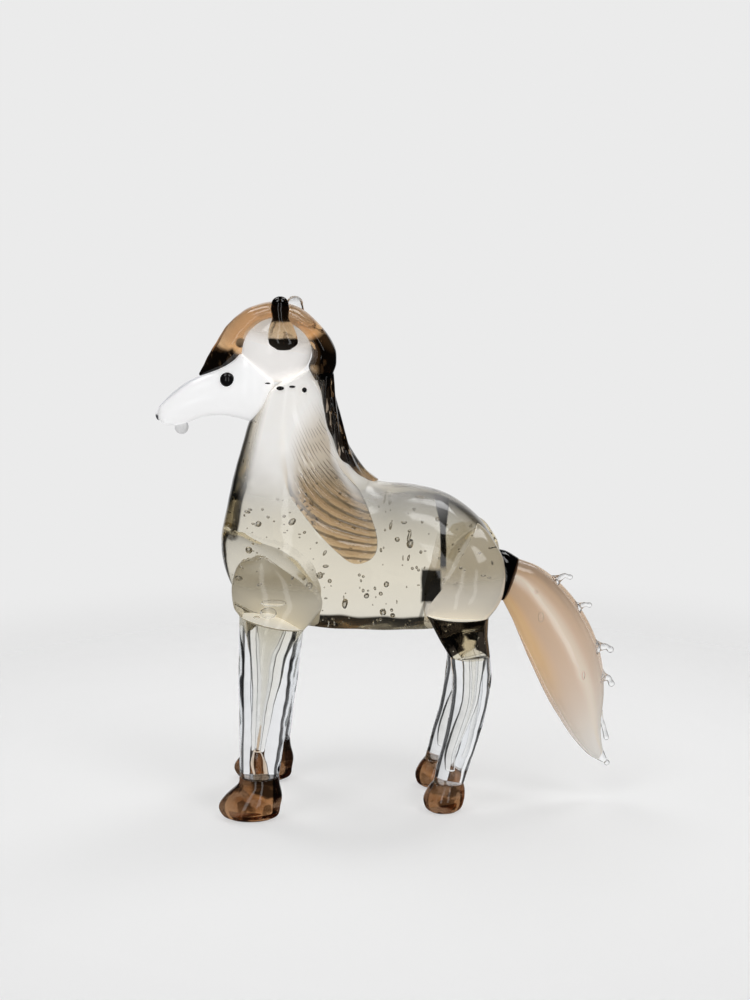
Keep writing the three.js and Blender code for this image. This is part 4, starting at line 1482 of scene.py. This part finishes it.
class GLASSHORSE_OT_stage(GlassHorseOperator, bpy.types.Operator):
    """Set the pale floor, the studio light and the camera"""

    bl_idname = "glass_horse.stage"
    bl_label = "Stage"

    BACKDROP = 0.831  # the pale grey that the camera sees behind the horse
    SOFTBOX = 4.0  # how bright a softbox looks in a polished skin
    BOX_THROUGH = 0.6  # and how bright through the glass
    FLOOR_GLOW = 0.50
    EYE = Vector((-3.7, -520.0, 190.0)) * MM
    PITCH = math.radians(10.86)
    LENS = 65.9
    FLOOR = 2.0  # half the floor's side, in metres

    def make(self):
        self.floor()
        self.light()
        self.camera()
        scene = bpy.context.scene
        scene.view_settings.view_transform = "Standard"
        scene.view_settings.look = "None"
        scene.cycles.max_bounces = 32
        scene.cycles.transmission_bounces = 32
        scene.cycles.glossy_bounces = 12
        scene.cycles.transparent_max_bounces = 16

    def camera(self):
        data = bpy.data.cameras.new("Camera")
        data.lens = self.LENS
        data.sensor_width = 36
        camera = bpy.data.objects.new("Camera", data)
        camera.location = self.EYE
        camera.rotation_euler = (math.pi / 2 - self.PITCH, 0, 0)
        bpy.context.scene.collection.objects.link(camera)
        bpy.context.scene.camera = camera

    def floor(self):
        half = self.FLOOR
        mesh = bpy.data.meshes.new("Floor")
        corners = [(-half, -half, 0), (half, -half, 0), (half, half, 0), (-half, half, 0)]
        mesh.from_pydata(corners, [], [(0, 1, 2, 3)])
        floor = bpy.data.objects.new("Floor", mesh)
        bpy.context.scene.collection.objects.link(floor)
        mesh.materials.append(material_with("Floor paper", self.paper))
        floor.visible_glossy = False
        floor.visible_transmission = False

    def paper(self, shader):
        """Matt paper, lit a little from below, that fades out into the backdrop before its far edge."""
        coordinates = shader.node("ShaderNodeTexCoord").out("Object")
        reach = shader.node("ShaderNodeVectorMath", {"operation": "LENGTH"}, {0: coordinates}).out("Value")
        matt = shader.node("ShaderNodeBsdfDiffuse", None, {"Color": (0.50, 0.50, 0.50, 1.0)})
        lit = shader.node("ShaderNodeEmission", None, {"Strength": self.FLOOR_GLOW})
        paper = shader.node("ShaderNodeAddShader", None, {0: matt.out(), 1: lit.out()})
        gone = shader.node("ShaderNodeBsdfTransparent").out()
        fade = reach.ramp(0.10, 0.30)
        shader.finish(shader.mixed(fade, paper.out(), gone))

    def light(self):
        """A studio all round the horse, the same from each of its four sides: a pale surround, narrow black
        flags that draw the dark lines in the glass, a black ceiling, and a softbox over each corner."""
        world = bpy.data.worlds.new("Studio")
        world.use_nodes = True
        bpy.context.scene.world = world
        shader = Shader(world.node_tree)
        direction = shader.node("ShaderNodeTexCoord").out("Generated")
        split = shader.node("ShaderNodeSeparateXYZ", None, {0: direction})
        x, y, z = (split.out(axis) for axis in range(3))
        level = (x * x + y * y).root() + 1e-4
        side = abs(x / level)
        flag = side.between(0.67, 0.985, 0.03)
        ceiling = z.ramp(0.47, 0.55)
        glow = z.ramp(-1.25, 0.0) * 0.95 + 0.05
        corner = abs(x * y / (level * level)).ramp(0.40, 0.47)
        box = corner * z.between(0.70, 0.96, 0.02)
        through = (1 - flag) * (1 - ceiling) * glow * 0.93 + 0.015 + box * self.BOX_THROUGH
        strip = side.between(0.22, 0.36, 0.02) * z.between(-0.30, 0.50, 0.04) * (1 - (y / level).ramp(-0.3, 0.3))
        behind = (y / level).ramp(0.80, 0.95) * z.between(-0.35, 0.45, 0.1) * 0.7
        mirrored = behind + strip * 2.0 + box * self.SOFTBOX + 0.02
        path = shader.node("ShaderNodeLightPath")
        seen, diffuse = path.out("Is Camera Ray"), path.out("Is Diffuse Ray")
        glossy = path.out("Is Glossy Ray") * (1 - path.out("Is Transmission Ray"))
        light = through * (1 - glossy) + mirrored * glossy + box * diffuse * (self.SOFTBOX - self.BOX_THROUGH)
        light = light * (1 - seen) + seen * self.BACKDROP
        white = {"Color": (1.0, 1.0, 1.0, 1.0), "Strength": light}
        emission = shader.node("ShaderNodeBackground", None, white)
        shader.node("ShaderNodeOutputWorld", None, {"Surface": emission.out()})


class GLASSHORSE_PT_panel(bpy.types.Panel):
    """The horse's settings and the steps that make it"""

    bl_idname = "GLASSHORSE_PT_panel"
    bl_label = "Glass horse"
    bl_space_type = "VIEW_3D"
    bl_region_type = "UI"
    bl_category = "Glass horse"

    def draw(self, context):
        for settings in (context.scene.glass_horse_sizes, context.scene.glass_horse_colours):
            box = self.layout.box()
            for name in settings.__annotations__:
                box.prop(settings, name)
        for step in STEPS:
            self.layout.operator(step.bl_idname)


STEPS = (
    GLASSHORSE_OT_stage,
    GLASSHORSE_OT_body,
    GLASSHORSE_OT_head,
    GLASSHORSE_OT_eyes,
    GLASSHORSE_OT_ears,
    GLASSHORSE_OT_forelock,
    GLASSHORSE_OT_mane,
    GLASSHORSE_OT_shoulders,
    GLASSHORSE_OT_haunches,
    GLASSHORSE_OT_front_legs,
    GLASSHORSE_OT_hind_legs,
    GLASSHORSE_OT_hooves,
    GLASSHORSE_OT_tail,
    GLASSHORSE_OT_seeds,
)
CLASSES = (GlassHorseSizes, GlassHorseColours, *STEPS, GLASSHORSE_PT_panel)


def register():
    for cls in CLASSES:
        bpy.utils.register_class(cls)
    bpy.types.Scene.glass_horse_sizes = PointerProperty(type=GlassHorseSizes)
    bpy.types.Scene.glass_horse_colours = PointerProperty(type=GlassHorseColours)


def unregister():
    del bpy.types.Scene.glass_horse_colours
    del bpy.types.Scene.glass_horse_sizes
    for cls in reversed(CLASSES):
        bpy.utils.unregister_class(cls)


def main():
    register()
    for step in STEPS:
        group, name = step.bl_idname.split(".")
        getattr(getattr(bpy.ops, group), name)()


if __name__ == "__main__":
    main()
